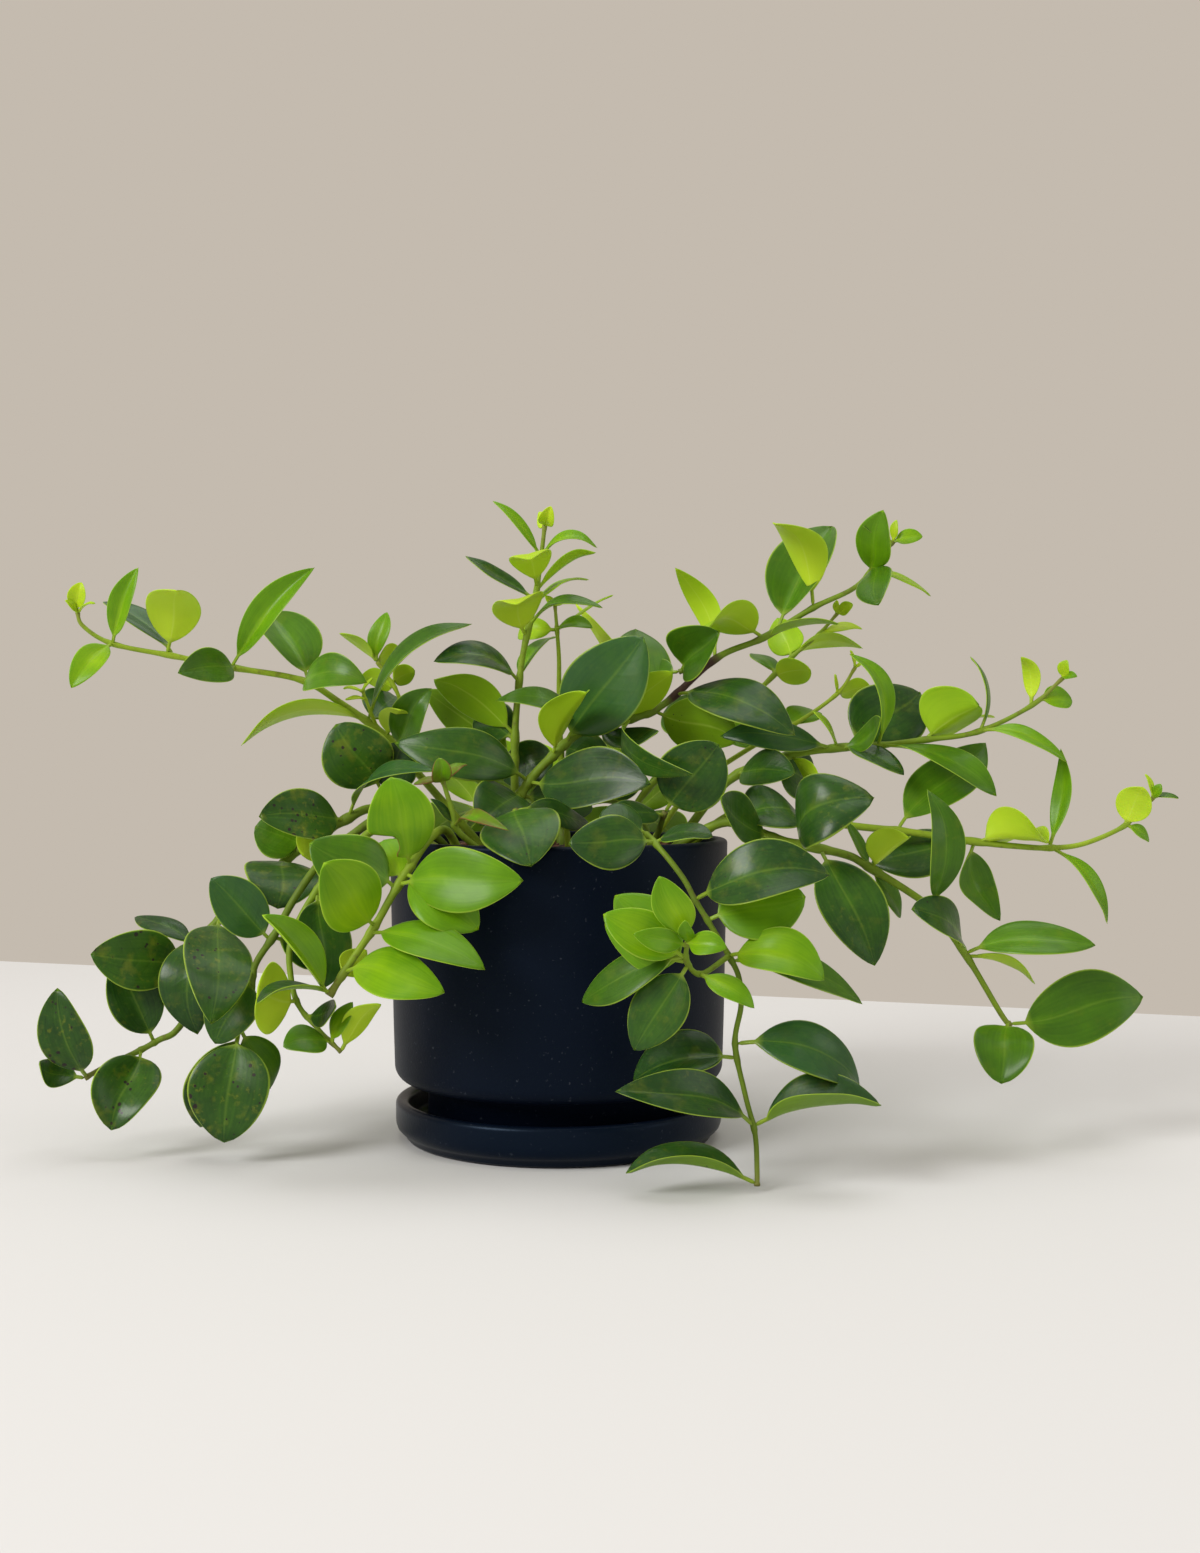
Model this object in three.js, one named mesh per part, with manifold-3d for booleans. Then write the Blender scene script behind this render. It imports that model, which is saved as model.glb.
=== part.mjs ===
// Trailing lipstick plant in a dark pot that stands on its saucer.
// Millimetres, +Z up. The origin is on the surface under the saucer, below the middle of the pot.

import * as THREE from 'three';
import { mergeVertices } from 'three/addons/utils/BufferGeometryUtils.js';
import Module from 'manifold-3d';

const wasm = await Module();
wasm.setup();

// Driving dimensions of the pot, its saucer and the soil
const turnSteps = 36;
const seatGap = 0.3;
const saucer = {
  radius: 81,
  footRadius: 76,
  footHeight: 3,
  waist: 8.5,
  shoulder: 17.5,
  height: 20,
  lipInner: 74.4,
  wellRadius: 70,
  floor: 7,
};
const pot = {
  rimRadius: 84,
  baseRadius: 81.5,
  rimHeight: 148,
  base: 29,
  wall: 6,
  corner: 8,
  floorThickness: 7,
  footOuter: 65,
  footInner: 59,
  drainRadius: 7.5,
  lipRound: 1.2,
};
const soil = {
  top: 141,
  bump: 1.3,
  holeDepth: 15,
  holeGap: 0.4,
};

// Driving dimensions of the leaves and stems
const bladeThickness = 0.8;
const petiole = { share: 0.12, halfWidth: 0.9, thickness: 1.5 };
const outline = { slender: 0.95, stout: 0.5, least: 0.5, most: 0.85, pointed: 0.15 };
const broadLeaf = 18;
const slimLeaf = 9;
const broadRows = [0, 0.12, 0.36, 0.7];
const middleRows = [0, 0.16, 0.6];
const slimRows = [0, 0.45];
const stemSides = 5;
const stemStepsPerSpan = 1;
const surfaceEase = 0.15;

// Places on the plant are read in the plane of the pot's middle, as seen level from the front,
// and are then carried along the line of sight to their own depth, which is negative in front.
const viewer = new THREE.Vector3(20.5, -900, 193);

function seen([across, up, depth]) {
  const scale = (depth - viewer.y) / -viewer.y;
  const x = viewer.x + (across - viewer.x) * scale;
  const z = viewer.z + (up - viewer.z) * scale;
  return new THREE.Vector3(x, depth, z);
}

// Each vine has one or more stems. The first grows from the soil at root, and the others branch off.
// thick is the stem's radius at its start and end, and route is where it runs.
// A leaf is [place on the route, tip across, tip up, tip depth, width, face, bend, fold, twist]:
// face 0 shows its upper side to the front, 90 turns it up and 180 away, bend arches it towards
// its upper side, fold lifts both halves, and twist turns it from foot to tip. Angles are degrees.
const vines = [
  {
    name: 'vine_upper_left',
    color: 0x4d8a34,
    stems: [
      {
        root: [-40, 14],
        thick: [2.1, 0.9],
        route: [[-72, 182, 16], [-88, 200, 14], [-110, 216, 12], [-129, 227, 10], [-162, 233, 4],
          [-193, 239, 0], [-223, 245, -4], [-238, 254, -6], [-241, 262, -6]],
        leaves: [
          [8, -239, 276, -10, 10, 20, 0.1, 20],
          [7.8, -247, 267, -12, 4, 30, 0.1, 15],
          [7.8, -232, 266, -14, 4, 90, 0.1, 10],
          [6, -210, 283, -12, 15, 30, 0.1, 28],
          [6, -244, 223, -24, 16, 30, 0.12, 15],
          [5.1, -191, 271, -32, 27, 180, 0.22, 8],
          [5, -228, 268, 18, 18, 50, 0.08, 10],
          [4.05, -122, 283, -8, 22, 32, 0.1, 38],
          [4, -191, 230, -34, 21, 20, 0.12, 15],
          [2.85, -145, 259, 36, 33, 28, 0.1, 26],
          [2.9, -96, 226, -22, 22, 25, 0.2, 15],
          [1.27, -160, 195, -10, 22, 112, 0.2, 4],
          [1.35, -44, 257, 4, 24, 68, 0.15, 20],
          [1.3, -82, 219, 40, 24, 15, 0.1, 8],
          [0.6, -64, 223, -2, 21, 15, 0.12, 22],
          [0.9, -79, 213, -8, 15, 160, 0.1, 10],
        ],
      },
      {
        thick: [1.3, 0.8],
        route: [[-84, 195, 15], [-79, 211, 22], [-82, 223, 25], [-91, 236, 26]],
        leaves: [
          [3, -86, 261, 30, 12, 30, 0.1, 20],
          [3, -110, 250, 20, 12, 115, 0.1, 8],
          [3, -79, 241, 34, 16, 130, 0.1, 5],
          [2.2, -72, 232, 30, 14, 140, 0.1, 5],
          [2, -99, 229, 34, 12, 140, 0.1, 5],
        ],
      },
      {
        thick: [1.1, 0.7],
        route: [[-91, 203, 14], [-95, 213, 8], [-98, 221, 6]],
        leaves: [
          [2, -108, 223, 2, 3, 60, 0.1, 10],
          [2, -93, 228, 8, 3, 60, 0.1, 10],
          [1.5, -107, 217, 0, 4, 60, 0.1, 10],
        ],
      },
    ],
  },
  {
    name: 'vine_centre',
    color: 0x5f9a35,
    stems: [
      {
        root: [-20, 12],
        thick: [2.2, 1],
        route: [[-22, 172, 14], [-22, 196, 14], [-21, 215, 14], [-18, 240, 14], [-12, 267, 14],
          [-9, 288, 14], [-7, 305, 14]],
        leaves: [
          [6, -4, 314, 4, 9, 0, 0.25, 20],
          [5.9, -10, 311, 22, 8, 160, 0.1, 15],
          [5, -33, 317, 10, 8, 45, 0.08, 22],
          [5, 20, 294, 6, 10, 60, 0.28, 18],
          [4.25, -14, 287, -26, 23, 180, 0.22, 12],
          [4.2, 18, 292, 26, 10, 118, 0.1, 8],
          [4, -46, 290, 8, 13, 58, -0.02, 15],
          [3.9, 15, 278, 36, 11, 80, 0.1, 10],
          [3.3, -21, 266, -26, 28, 180, 0.2, 6],
          [3.5, 22, 263, 0, 15, 70, 0.2, 18],
          [2.45, -63, 237, -2, 25, 60, 0.2, 10],
          [2.45, -2, 250, 38, 14, 60, 0.1, 10],
          [1.15, -63, 229, -4, 25, 145, 0.12, 5],
          [1.05, -41, 211, 30, 24, 20, 0.1, 5],
          [0.6, -68, 222, 32, 24, 165, 0.08, 12],
        ],
      },
    ],
  },
  {
    name: 'shoot_centre',
    color: 0x6c8f3d,
    stems: [
      {
        root: [4, 24],
        thick: [1.6, 0.8],
        route: [[1, 190, 28], [0, 217, 26], [0, 237, 24], [-1, 252, 24], [-2, 264, 24]],
        leaves: [
          [4, -7, 269, 22, 4, 20, 0.1, 10],
          [4, 4, 268, 22, 4, 20, 0.1, 10],
          [3, -21, 248, 32, 14, 35, 0.2, 8],
          [3, 17, 253, 16, 10, 50, 0.2, 12],
          [3, 27, 270, 22, 6, 80, 0.02, 5],
          [0, -28, 178, 36, 26, 20, 0.1, 5],
          [0.1, 26, 184, 26, 24, 20, 0.1, 5],
        ],
      },
    ],
  },
  {
    name: 'vine_upper_right',
    color: 0x3f7a33,
    stems: [
      {
        root: [-10, -4],
        thick: [2.6, 1],
        route: [[-21, 162, -2], [-15, 176, 0], [-3, 189, 2], [13, 202, 6], [38, 208, 8], [54, 216, 10],
          [79, 238, 12], [102, 248, 12], [127, 263, 10], [149, 274, 8], [162, 290, 6], [167, 296, 6]],
        leaves: [
          [11, 169, 307, 4, 5, 20, 0.1, 10],
          [11, 182, 299, 4, 9, 30, 0.1, 12],
          [10.8, 152, 304, -12, 8, 35, 0.1, 12],
          [9.4, 162, 312, -16, 20, 12, 0.1, 14],
          [9.6, 160, 264, -28, 20, 20, 0.06, 8],
          [9.45, 186, 269, 12, 12, 75, 0.08, 8],
          [8, 107, 304, -32, 25, 140, 0.22, 10],
          [7.3, 136, 305, 36, 40, 32, 0.05, 30],
          [7, 73, 253, -10, 29, 125, 0.22, 10],
          [7, 140, 255, -4, 22, 104, 0.08, 8],
          [5.95, 58, 283, 4, 16, 155, 0.28, 5],
          [5.2, 119, 201, -34, 32, 45, 0.12, 10],
          [4.6, 90, 197, 2, 30, 160, 0.05, 4],
          [4.4, 39, 254, 40, 32, 20, 0.02, 10],
          [4.4, 9, 266, 52, 12, 120, 0.02, 5],
          [3.4, 57, 231, -6, 22, 150, 0.02, 4],
          [3.2, 50, 201, -16, 22, 60, -0.16, 15],
          [3.9, 67, 179, -56, 15, -45, 0.22, 8],
          [2.4, 42, 249, -14, 42, 12, 0.06, 8],
          [3, -32, 217, -8, 19, 60, 0.2, 5],
          [2, 14, 220, -46, 34, 135, 0.05, 45],
          [1, 46, 175, -40, 31, 18, 0.05, 6],
          [1, -82, 195, -14, 28, 22, 0.2, 8],
          [0.5, 17, 163, 20, 26, 30, 0.05, 5],
          [0.5, -40, 154, -40, 30, 20, 0.1, 12],
        ],
      },
      {
        thick: [1.4, 1.1],
        route: [[79, 238, 12], [68, 234, 14], [60, 231, 16]],
        leaves: [
          [1.8, 80, 251, -12, 34, 30, 0.05, 38],
          [2, 40, 226, 34, 20, 50, 0.1, 5],
        ],
      },
    ],
  },
  {
    name: 'vine_right_fork',
    color: 0x74a036,
    stems: [
      {
        root: [28, 34],
        thick: [1.8, 0.8],
        route: [[44, 172, 42], [72, 196, 46], [101, 223, 46], [116, 238, 44], [130, 250, 42], [139, 260, 42]],
        leaves: [
          [5, 147, 265, 38, 7, 20, 0.1, 10],
          [5, 139, 267, 42, 4, 30, 0.1, 10],
          [4, 152, 253, 46, 9, 60, 0.1, 10],
          [3, 152, 243, 38, 18, 118, 0.2, 5],
          [3, 109, 258, 56, 20, 170, 0.08, 5],
          [2.3, 126, 232, 36, 20, 140, 0.12, 5],
          [2.4, 97, 240, 62, 16, 60, 0.1, 5],
          [1.2, 54, 214, 66, 30, 20, 0.1, 5],
          [1.1, 104, 206, 66, 30, 30, 0.1, 5],
          [0, 18, 178, 52, 25, 30, 0.1, 5],
          [0.3, 82, 176, 62, 26, 30, 0.1, 5],
        ],
      },
    ],
  },
  {
    name: 'vine_right_twig',
    color: 0x8aa83c,
    stems: [
      {
        root: [46, 22],
        thick: [1.6, 0.8],
        route: [[66, 172, 26], [94, 192, 28], [118, 205, 28], [139, 220, 26], [148, 233, 26]],
        leaves: [
          [4, 146, 242, 24, 3, 60, 0.02, 10],
          [4, 152, 236, 24, 3, 60, 0.02, 10],
          [3, 156, 223, 30, 13, 140, 0.1, 5],
          [3, 138, 230, 22, 3, 60, 0.02, 5],
          [1.9, 128, 212, 46, 18, 40, 0.08, 5],
        ],
      },
    ],
  },
  {
    name: 'vine_right_high',
    color: 0x4f8b30,
    stems: [
      {
        root: [58, 2],
        thick: [2.3, 0.9],
        route: [[84, 176, 4], [110, 188, 2], [139, 193, 0], [158, 194, -2], [182, 197, -4],
          [209, 201, -4], [236, 214, -2], [252, 228, 0]],
        leaves: [
          [7, 254, 237, -4, 7, 20, 0.1, 12],
          [7, 259, 229, -8, 5, 40, 0.1, 12],
          [6, 231, 239, -8, 10, 155, 0.25, 8],
          [6.2, 256, 217, 8, 14, 30, 0.1, 8],
          [5.05, 206, 239, 4, 12, 82, 0.16, 8],
          [5.05, 254, 186, -12, 14, 60, 0.14, 15],
          [4.05, 210, 214, -16, 40, 145, 0.1, 35],
          [4.1, 218, 208, 16, 14, 80, 0.1, 8],
          [3.05, 146, 241, -10, 19, 58, 0.22, 18],
          [3.1, 219, 169, -22, 22, 62, 0.12, 8, -70],
          [2.25, 181, 222, 20, 36, 10, 0.05, 6],
          [2, 127, 211, -12, 10, 75, 0.08, 10],
          [2, 160, 208, -28, 14, 40, -0.2, 10],
          [2.1, 172, 179, -16, 18, 60, 0.1, 14],
          [1.9, 80, 200, -6, 18, 30, 0.1, 5],
          [1.2, 132, 170, -20, 14, 120, 0.05, 5],
          [0.9, 126, 172, 24, 26, 30, 0.1, 5],
          [0.2, 118, 180, -22, 24, 35, 0.1, 8],
        ],
      },
    ],
  },
  {
    name: 'vine_right_low',
    color: 0x447f30,
    stems: [
      {
        root: [62, -14],
        thick: [2.2, 0.9],
        route: [[90, 161, -14], [120, 158, -12], [147, 154, -12], [175, 151, -12], [209, 146, -12],
          [227, 144, -12], [245, 143, -12], [262, 145, -12], [281, 153, -12], [290, 161, -12],
          [297, 168, -12]],
        leaves: [
          [10, 293, 180, -12, 4, 50, 0.1, 10],
          [10, 310, 168, -14, 5, 60, 0.12, 10],
          [10, 301, 175, -16, 6, 20, 0.1, 10],
          [8.1, 292, 174, -22, 17, 175, 0.1, 4],
          [8.2, 295, 146, -8, 8, 50, 0.12, 8],
          [6, 251, 193, -8, 11, 28, -0.14, 12],
          [6.05, 275, 105, -16, 13, 55, 0.14, 18],
          [4, 245, 146, -28, 36, 120, 0.05, 42, -90],
          [2.8, 214, 197, 10, 26, 12, 0.02, 6],
          [3.95, 156, 136, -4, 27, 28, 0.02, 5],
          [3.95, 221, 108, -10, 24, 40, -0.28, 22],
        ],
      },
    ],
  },
  {
    name: 'vine_right_drooping',
    color: 0x3c7a2c,
    stems: [
      {
        root: [54, -28],
        thick: [2.4, 1.2],
        route: [[84, 156, -34], [110, 147, -38], [142, 140, -38], [154, 134, -38], [178, 119, -38],
          [186, 112, -38], [203, 90, -38], [221, 60, -38], [226, 54, -38]],
        leaves: [
          [7.7, 293, 69, -36, 36, 5, 0.02, 5],
          [7.6, 221, 25, -62, 31, 5, 0.15, 14],
          [6, 268, 94, -46, 24, 42, 0.12, 12],
          [6.05, 239, 76, -26, 18, 100, 0.08, 8, -50],
          [5.9, 176, 112, -58, 30, 60, 0.18, 10],
          [4.9, 185, 174, -52, 19, 32, 0.24, 12],
          [3.1, 175, 149, -50, 26, 135, 0.05, 42],
          [3.1, 143, 156, -30, 11, 60, 0.02, 12],
          [3.1, 172, 108, -28, 14, 50, 0.02, 14],
          [1.35, 158, 169, -66, 39, 40, 0.36, 10],
          [1.6, 158, 84, -58, 31, 18, 0.1, 12],
          [0.9, 81, 168, -70, 24, 40, -0.12, 14],
          [0.2, 121, 160, -24, 34, 45, 0.2, 8],
        ],
      },
    ],
  },
  {
    name: 'vine_front_right',
    color: 0x4a8c36,
    stems: [
      {
        root: [34, -50],
        thick: [1.35, 1.15],
        route: [[42, 150, -76], [51, 142, -94], [62, 128, -100], [68, 117, -102], [76, 104, -104],
          [85, 89, -106], [90, 78, -108], [91, 64, -108], [88, 45, -108], [93, 20, -110],
          [98, 0, -112], [99, -18, -116], [99, -26, -119]],
        leaves: [
          [11.9, 33, -18, -126, 26, 70, 0.1, 42],
          [9.8, 28, 21, -136, 24, 40, 0.14, 20],
          [9.8, 161, 17, -126, 32, 66, 0.06, 46],
          [8.3, 37, 26, -98, 31, 45, 0.14, 20],
          [8, 151, 24, -98, 27, 35, 0.24, 12],
          [5.2, 152, 65, -100, 20, 50, 0.13, 10],
          [5, 133, 77, -122, 26, 35, 0.22, 15],
          [3.8, 123, 118, -104, 32, 20, 0.08, 8],
          [3, 136, 130, -118, 29, 30, 0.2, 6],
          [0.7, 5, 146, -104, 25, 20, 0.05, 4],
          [0.7, 77, 150, -100, 19, 66, 0.1, 8],
          [0.2, 20, 160, -82, 22, 50, 0.1, 5],
        ],
      },
      {
        thick: [1.3, 1],
        route: [[85, 89, -107], [71, 80, -118], [64, 86, -127], [64, 96, -131]],
        leaves: [
          [3, 50, 129, -136, 17, 0, 0.05, 10],
          [3, 63, 107, -140, 7, 0, 0.1, 10],
          [3, 84, 93, -142, 11, 10, 0.12, 12],
          [2.8, 37, 100, -142, 11, 10, 0.08, 12],
          [2.2, 22, 110, -130, 23, 12, 0.05, 8],
          [2, 22, 105, -120, 23, -15, 0.06, 8],
          [1.9, 28, 119, -112, 24, 20, 0.06, 6],
          [2.3, 11, 66, -112, 22, 35, 0.1, 5],
          [1.85, 38, 42, -124, 24, 8, 0.06, 8],
          [1.1, 98, 63, -130, 11, 28, 0.12, 8],
        ],
      },
    ],
  },
  {
    name: 'vine_front_left',
    color: 0x62a232,
    stems: [
      {
        root: [-46, -46],
        thick: [2.1, 1.6],
        route: [[-57, 152, -54], [-66, 146, -68], [-76, 131, -76], [-83, 120, -80], [-92, 104, -84],
          [-104, 86, -87], [-115, 69, -90]],
        leaves: [
          [1.8, -84, 179, -84, 32, 0, 0.1, 5],
          [2.6, -18, 127, -106, 30, 14, 0.08, 8],
          [2.1, -40, 102, -94, 29, 10, 0.14, 12],
          [2.8, -125, 145, -92, 30, 20, 0.08, 5],
          [2.4, -88, 147, -66, 26, 10, 0.1, 5],
          [4, -118, 136, -110, 31, 3, 0.06, 8],
          [4.2, -37, 82, -110, 25, 38, 0.12, 8],
          [5.3, -57, 72, -116, 27, 33, 0.12, 8],
          [6, -148, 110, -104, 25, 55, 0.02, 42],
          [5.4, -96, 92, -72, 14, 160, 0.1, 5],
          [5.9, -152, 67, -112, 20, 80, 0.1, 12],
        ],
      },
    ],
  },
  {
    name: 'vine_left_inner',
    color: 0x5b8f33,
    stems: [
      {
        root: [-56, -32],
        thick: [2.2, 0.9],
        route: [[-86, 154, -42], [-106, 140, -52], [-124, 117, -60], [-134, 96, -66], [-134, 78, -70],
          [-130, 64, -74], [-120, 52, -80], [-109, 41, -84]],
        leaves: [
          [7, -89, 65, -92, 15, 140, 0.15, 8],
          [6.6, -103, 66, -84, 11, 40, 0.12, 8],
          [6.5, -138, 44, -96, 17, 40, 0.1, 8],
          [5.4, -112, 64, -98, 13, 40, -0.1, 8],
          [4.8, -151, 68, -98, 32, 172, 0.06, 8],
          [1.8, -117, 73, -74, 28, 20, 0.04, 8],
        ],
      },
    ],
  },
  {
    name: 'vine_left_middle',
    color: 0x376f30,
    stems: [
      {
        root: [-62, -18],
        thick: [2.3, 1.3],
        route: [[-86, 158, -28], [-104, 149, -38], [-119, 136, -50], [-132, 118, -58], [-142, 100, -58],
          [-152, 84, -58], [-154, 68, -58], [-160, 51, -58]],
        leaves: [
          [7, -167, -4, -68, 37, 15, 0.1, 4],
          [6.9, -179.5, 3, -46, 31, -10, 0.06, 8],
          [6.9, -143, 22, -40, 22, 20, 0.08, 4],
          [5.3, -172, 45, -62, 26, 20, 0.02, 5],
          [4.2, -174, 128, -62, 26, 8, 0.05, 14],
          [4.1, -121, 88, -34, 22, 30, 0.1, 5],
        ],
      },
    ],
  },
  {
    name: 'vine_left_outer',
    color: 0x3b7433,
    stems: [
      {
        root: [-66, 2],
        thick: [2.4, 1.2],
        route: [[-90, 162, -2], [-107, 157, -8], [-130, 142, -14], [-150, 124, -18], [-170, 107, -22],
          [-184, 88, -24], [-186, 62, -26], [-192, 51, -30], [-200, 47, -32], [-209, 42, -34],
          [-226, 34, -38], [-237, 28, -40]],
        leaves: [
          [10.9, -251, 73, -56, 26, -30, 0.15, 8],
          [11, -260, 36, -54, 15, 25, -0.3, 14],
          [9, -224, 2, -62, 34, 5, 0.08, 25],
          [8.3, -222, 88, -34, 26, 8, 0.04, 12],
          [5.2, -234, 90, -50, 31, 5, 0.05, 5],
          [4.8, -212, 108, -8, 15, 45, 0.12, 5],
          [4.3, -181, 49, -44, 29, 25, 0.3, 8],
          [2.35, -141, 113, -50, 37, 0, 0.15, 5],
          [1.9, -152, 154, -18, 27, 20, 0.05, 5],
          [1.4, -128, 139, -24, 20, 170, 0.02, 5],
          [1, -150, 159, -38, 27, 24, 0.08, 5],
          [0.9, -62, 181, -40, 22, 80, 0.2, 5],
          [4, -174, 55, -84, 34, 8, 0.1, 5],
        ],
      },
    ],
  },
  {
    name: 'shoot_front_young',
    color: 0x7d8a3a,
    stems: [
      {
        root: [-34, -58],
        thick: [1.6, 1],
        route: [[-51, 152, -60], [-53, 160, -60], [-56, 170, -60], [-58, 176, -60]],
        leaves: [
          [3, -60, 188, -66, 11, 0, 0.2, 28],
          [3, -73, 175, -58, 5, 50, 0.12, 8],
          [3, -46, 185, -52, 9, 60, 0.12, 10],
          [0.2, -25, 152, -100, 9, 50, 0.14, 12],
          [0.3, -64, 168, -62, 7, 50, 0.02, 10],
        ],
      },
    ],
  },
  {
    name: 'shoot_front_centre',
    color: 0x2f6128,
    stems: [
      {
        root: [-16, -44],
        thick: [1.7, 1.2],
        route: [[-20, 157, -48], [-22, 162, -52]],
        leaves: [
          [1, -14, 134, -99, 36, 0, 0.12, 5],
          [0.9, 14, 155, -16, 14, 30, 0.1, 5],
        ],
      },
    ],
  },
  {
    name: 'shoot_front_right',
    color: 0x2f5f2a,
    stems: [
      {
        root: [46, -22],
        thick: [1.8, 1.2],
        route: [[50, 152, -28], [53, 161, -32]],
        leaves: [
          [1, 80, 195, -40, 34, 8, 0.05, 8],
          [0.8, 24, 159, -52, 18, 50, 0.05, 5],
        ],
      },
    ],
  },
  {
    name: 'shoot_left_crown',
    color: 0x356b2f,
    stems: [
      {
        root: [-58, 16],
        thick: [1.8, 1.2],
        route: [[-74, 160, 10], [-89, 172, 2]],
        leaves: [
          [1, -112, 205, -10, 36, 0, 0.1, 3],
          [0.8, -78, 196, 2, 24, 12, 0.08, 5],
        ],
      },
    ],
  },
  {
    name: 'vine_back',
    color: 0x356b2f,
    stems: [
      {
        root: [0, 52],
        thick: [2.5, 1.2],
        route: [[-1, 158, 66], [-1, 161, 84], [-3, 154, 104], [-4, 134, 116], [-3, 108, 122], [-1, 86, 124]],
        leaves: [
          [0, -42, 176, 70, 30, 120, 0.12, 8],
          [0.1, 40, 178, 74, 30, 120, 0.12, 8],
          [1, -14, 196, 120, 28, 135, 0.1, 10],
          [1.2, 22, 182, 130, 30, 140, 0.1, 8],
          [2.1, -50, 140, 124, 30, 150, 0.12, 8],
          [2, 44, 146, 126, 30, 150, 0.12, 8],
          [3, -28, 112, 152, 28, 160, 0.12, 8],
          [3.1, 30, 122, 156, 30, 160, 0.12, 8],
          [4, -48, 90, 130, 29, 150, 0.12, 8],
          [4.1, 46, 92, 136, 29, 150, 0.12, 8],
          [5, -24, 50, 136, 27, 165, 0.1, 8],
          [5, 24, 56, 142, 27, 165, 0.1, 8],
        ],
      },
      {
        thick: [1.9, 1.1],
        route: [[-1, 160, 74], [-20, 167, 82], [-40, 163, 94], [-52, 144, 104], [-58, 120, 112]],
        leaves: [
          [1, -34, 198, 96, 26, 120, 0.1, 8],
          [2, -66, 186, 92, 28, 125, 0.12, 8],
          [2, -68, 146, 132, 29, 150, 0.12, 8],
          [3, -79, 115, 118, 27, 150, 0.12, 8],
          [3.1, -30, 124, 144, 28, 150, 0.12, 8],
          [3.9, -77, 86, 122, 26, 160, 0.1, 8],
          [4, -46, 82, 124, 24, 160, 0.1, 8],
        ],
      },
      {
        thick: [1.9, 1.1],
        route: [[-1, 160, 76], [20, 167, 84], [38, 161, 94], [48, 142, 104], [52, 118, 110]],
        leaves: [
          [1, 36, 198, 98, 26, 125, 0.1, 8],
          [2, 72, 180, 102, 28, 130, 0.12, 8],
          [2.1, 62, 142, 136, 30, 150, 0.12, 8],
          [3, 76, 120, 120, 28, 150, 0.12, 8],
          [3.1, 22, 120, 146, 28, 150, 0.12, 8],
          [4, 68, 80, 122, 28, 160, 0.1, 8],
          [4, 38, 78, 128, 24, 160, 0.1, 8],
        ],
      },
    ],
  },
];

// Closed skin over a row of rings with the same number of points, ending at a point or a flat face
function skin(rings, tip) {
  const sides = rings[0].length;
  const positions = rings.flat().flatMap((point) => point.toArray());
  const faces = [];
  for (let side = 1; side < sides - 1; side++) {
    faces.push(0, side, side + 1);
  }
  for (let ring = 0; ring < rings.length - 1; ring++) {
    for (let side = 0; side < sides; side++) {
      const near = ring * sides + side;
      const nearNext = ring * sides + (side + 1) % sides;
      const far = near + sides;
      const farNext = nearNext + sides;
      if (side < sides / 2) {
        faces.push(near, far, farNext, near, farNext, nearNext);
      } else {
        faces.push(near, far, nearNext, nearNext, far, farNext);
      }
    }
  }
  const last = (rings.length - 1) * sides;
  if (tip) {
    positions.push(...tip.toArray());
    for (let side = 0; side < sides; side++) {
      faces.push(last + side, last + sides, last + (side + 1) % sides);
    }
  } else {
    for (let side = 1; side < sides - 1; side++) {
      faces.push(last, last + side + 1, last + side);
    }
  }
  const geometry = new THREE.BufferGeometry();
  geometry.setAttribute('position', new THREE.Float32BufferAttribute(positions, 3));
  geometry.setIndex(faces);
  return geometry;
}

function toSolid(geometry) {
  const bare = geometry.clone();
  bare.deleteAttribute('normal');
  bare.deleteAttribute('uv');
  const merged = mergeVertices(bare, 1e-4);
  return new wasm.Manifold(new wasm.Mesh({
    numProp: 3,
    vertProperties: new Float32Array(merged.attributes.position.array),
    triVerts: new Uint32Array(merged.index.array),
  }));
}

function toGeometry(solid) {
  const mesh = solid.getMesh();
  const geometry = new THREE.BufferGeometry();
  geometry.setAttribute('position', new THREE.Float32BufferAttribute(mesh.vertProperties, 3));
  geometry.setIndex(Array.from(mesh.triVerts));
  return geometry;
}

// Half width of a blade at a share of its length, as a part of its greatest half width. A stout leaf
// is nearly an ellipse, and a slender one narrows more to its foot and tip.
function bladeShare(share, stoutness) {
  const rise = THREE.MathUtils.clamp(outline.slender - outline.stout * stoutness, outline.least, outline.most);
  const fall = rise + outline.pointed;
  const widest = rise / (rise + fall);
  const most = widest ** rise * (1 - widest) ** fall;
  return share ** rise * (1 - share) ** fall / most;
}

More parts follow.
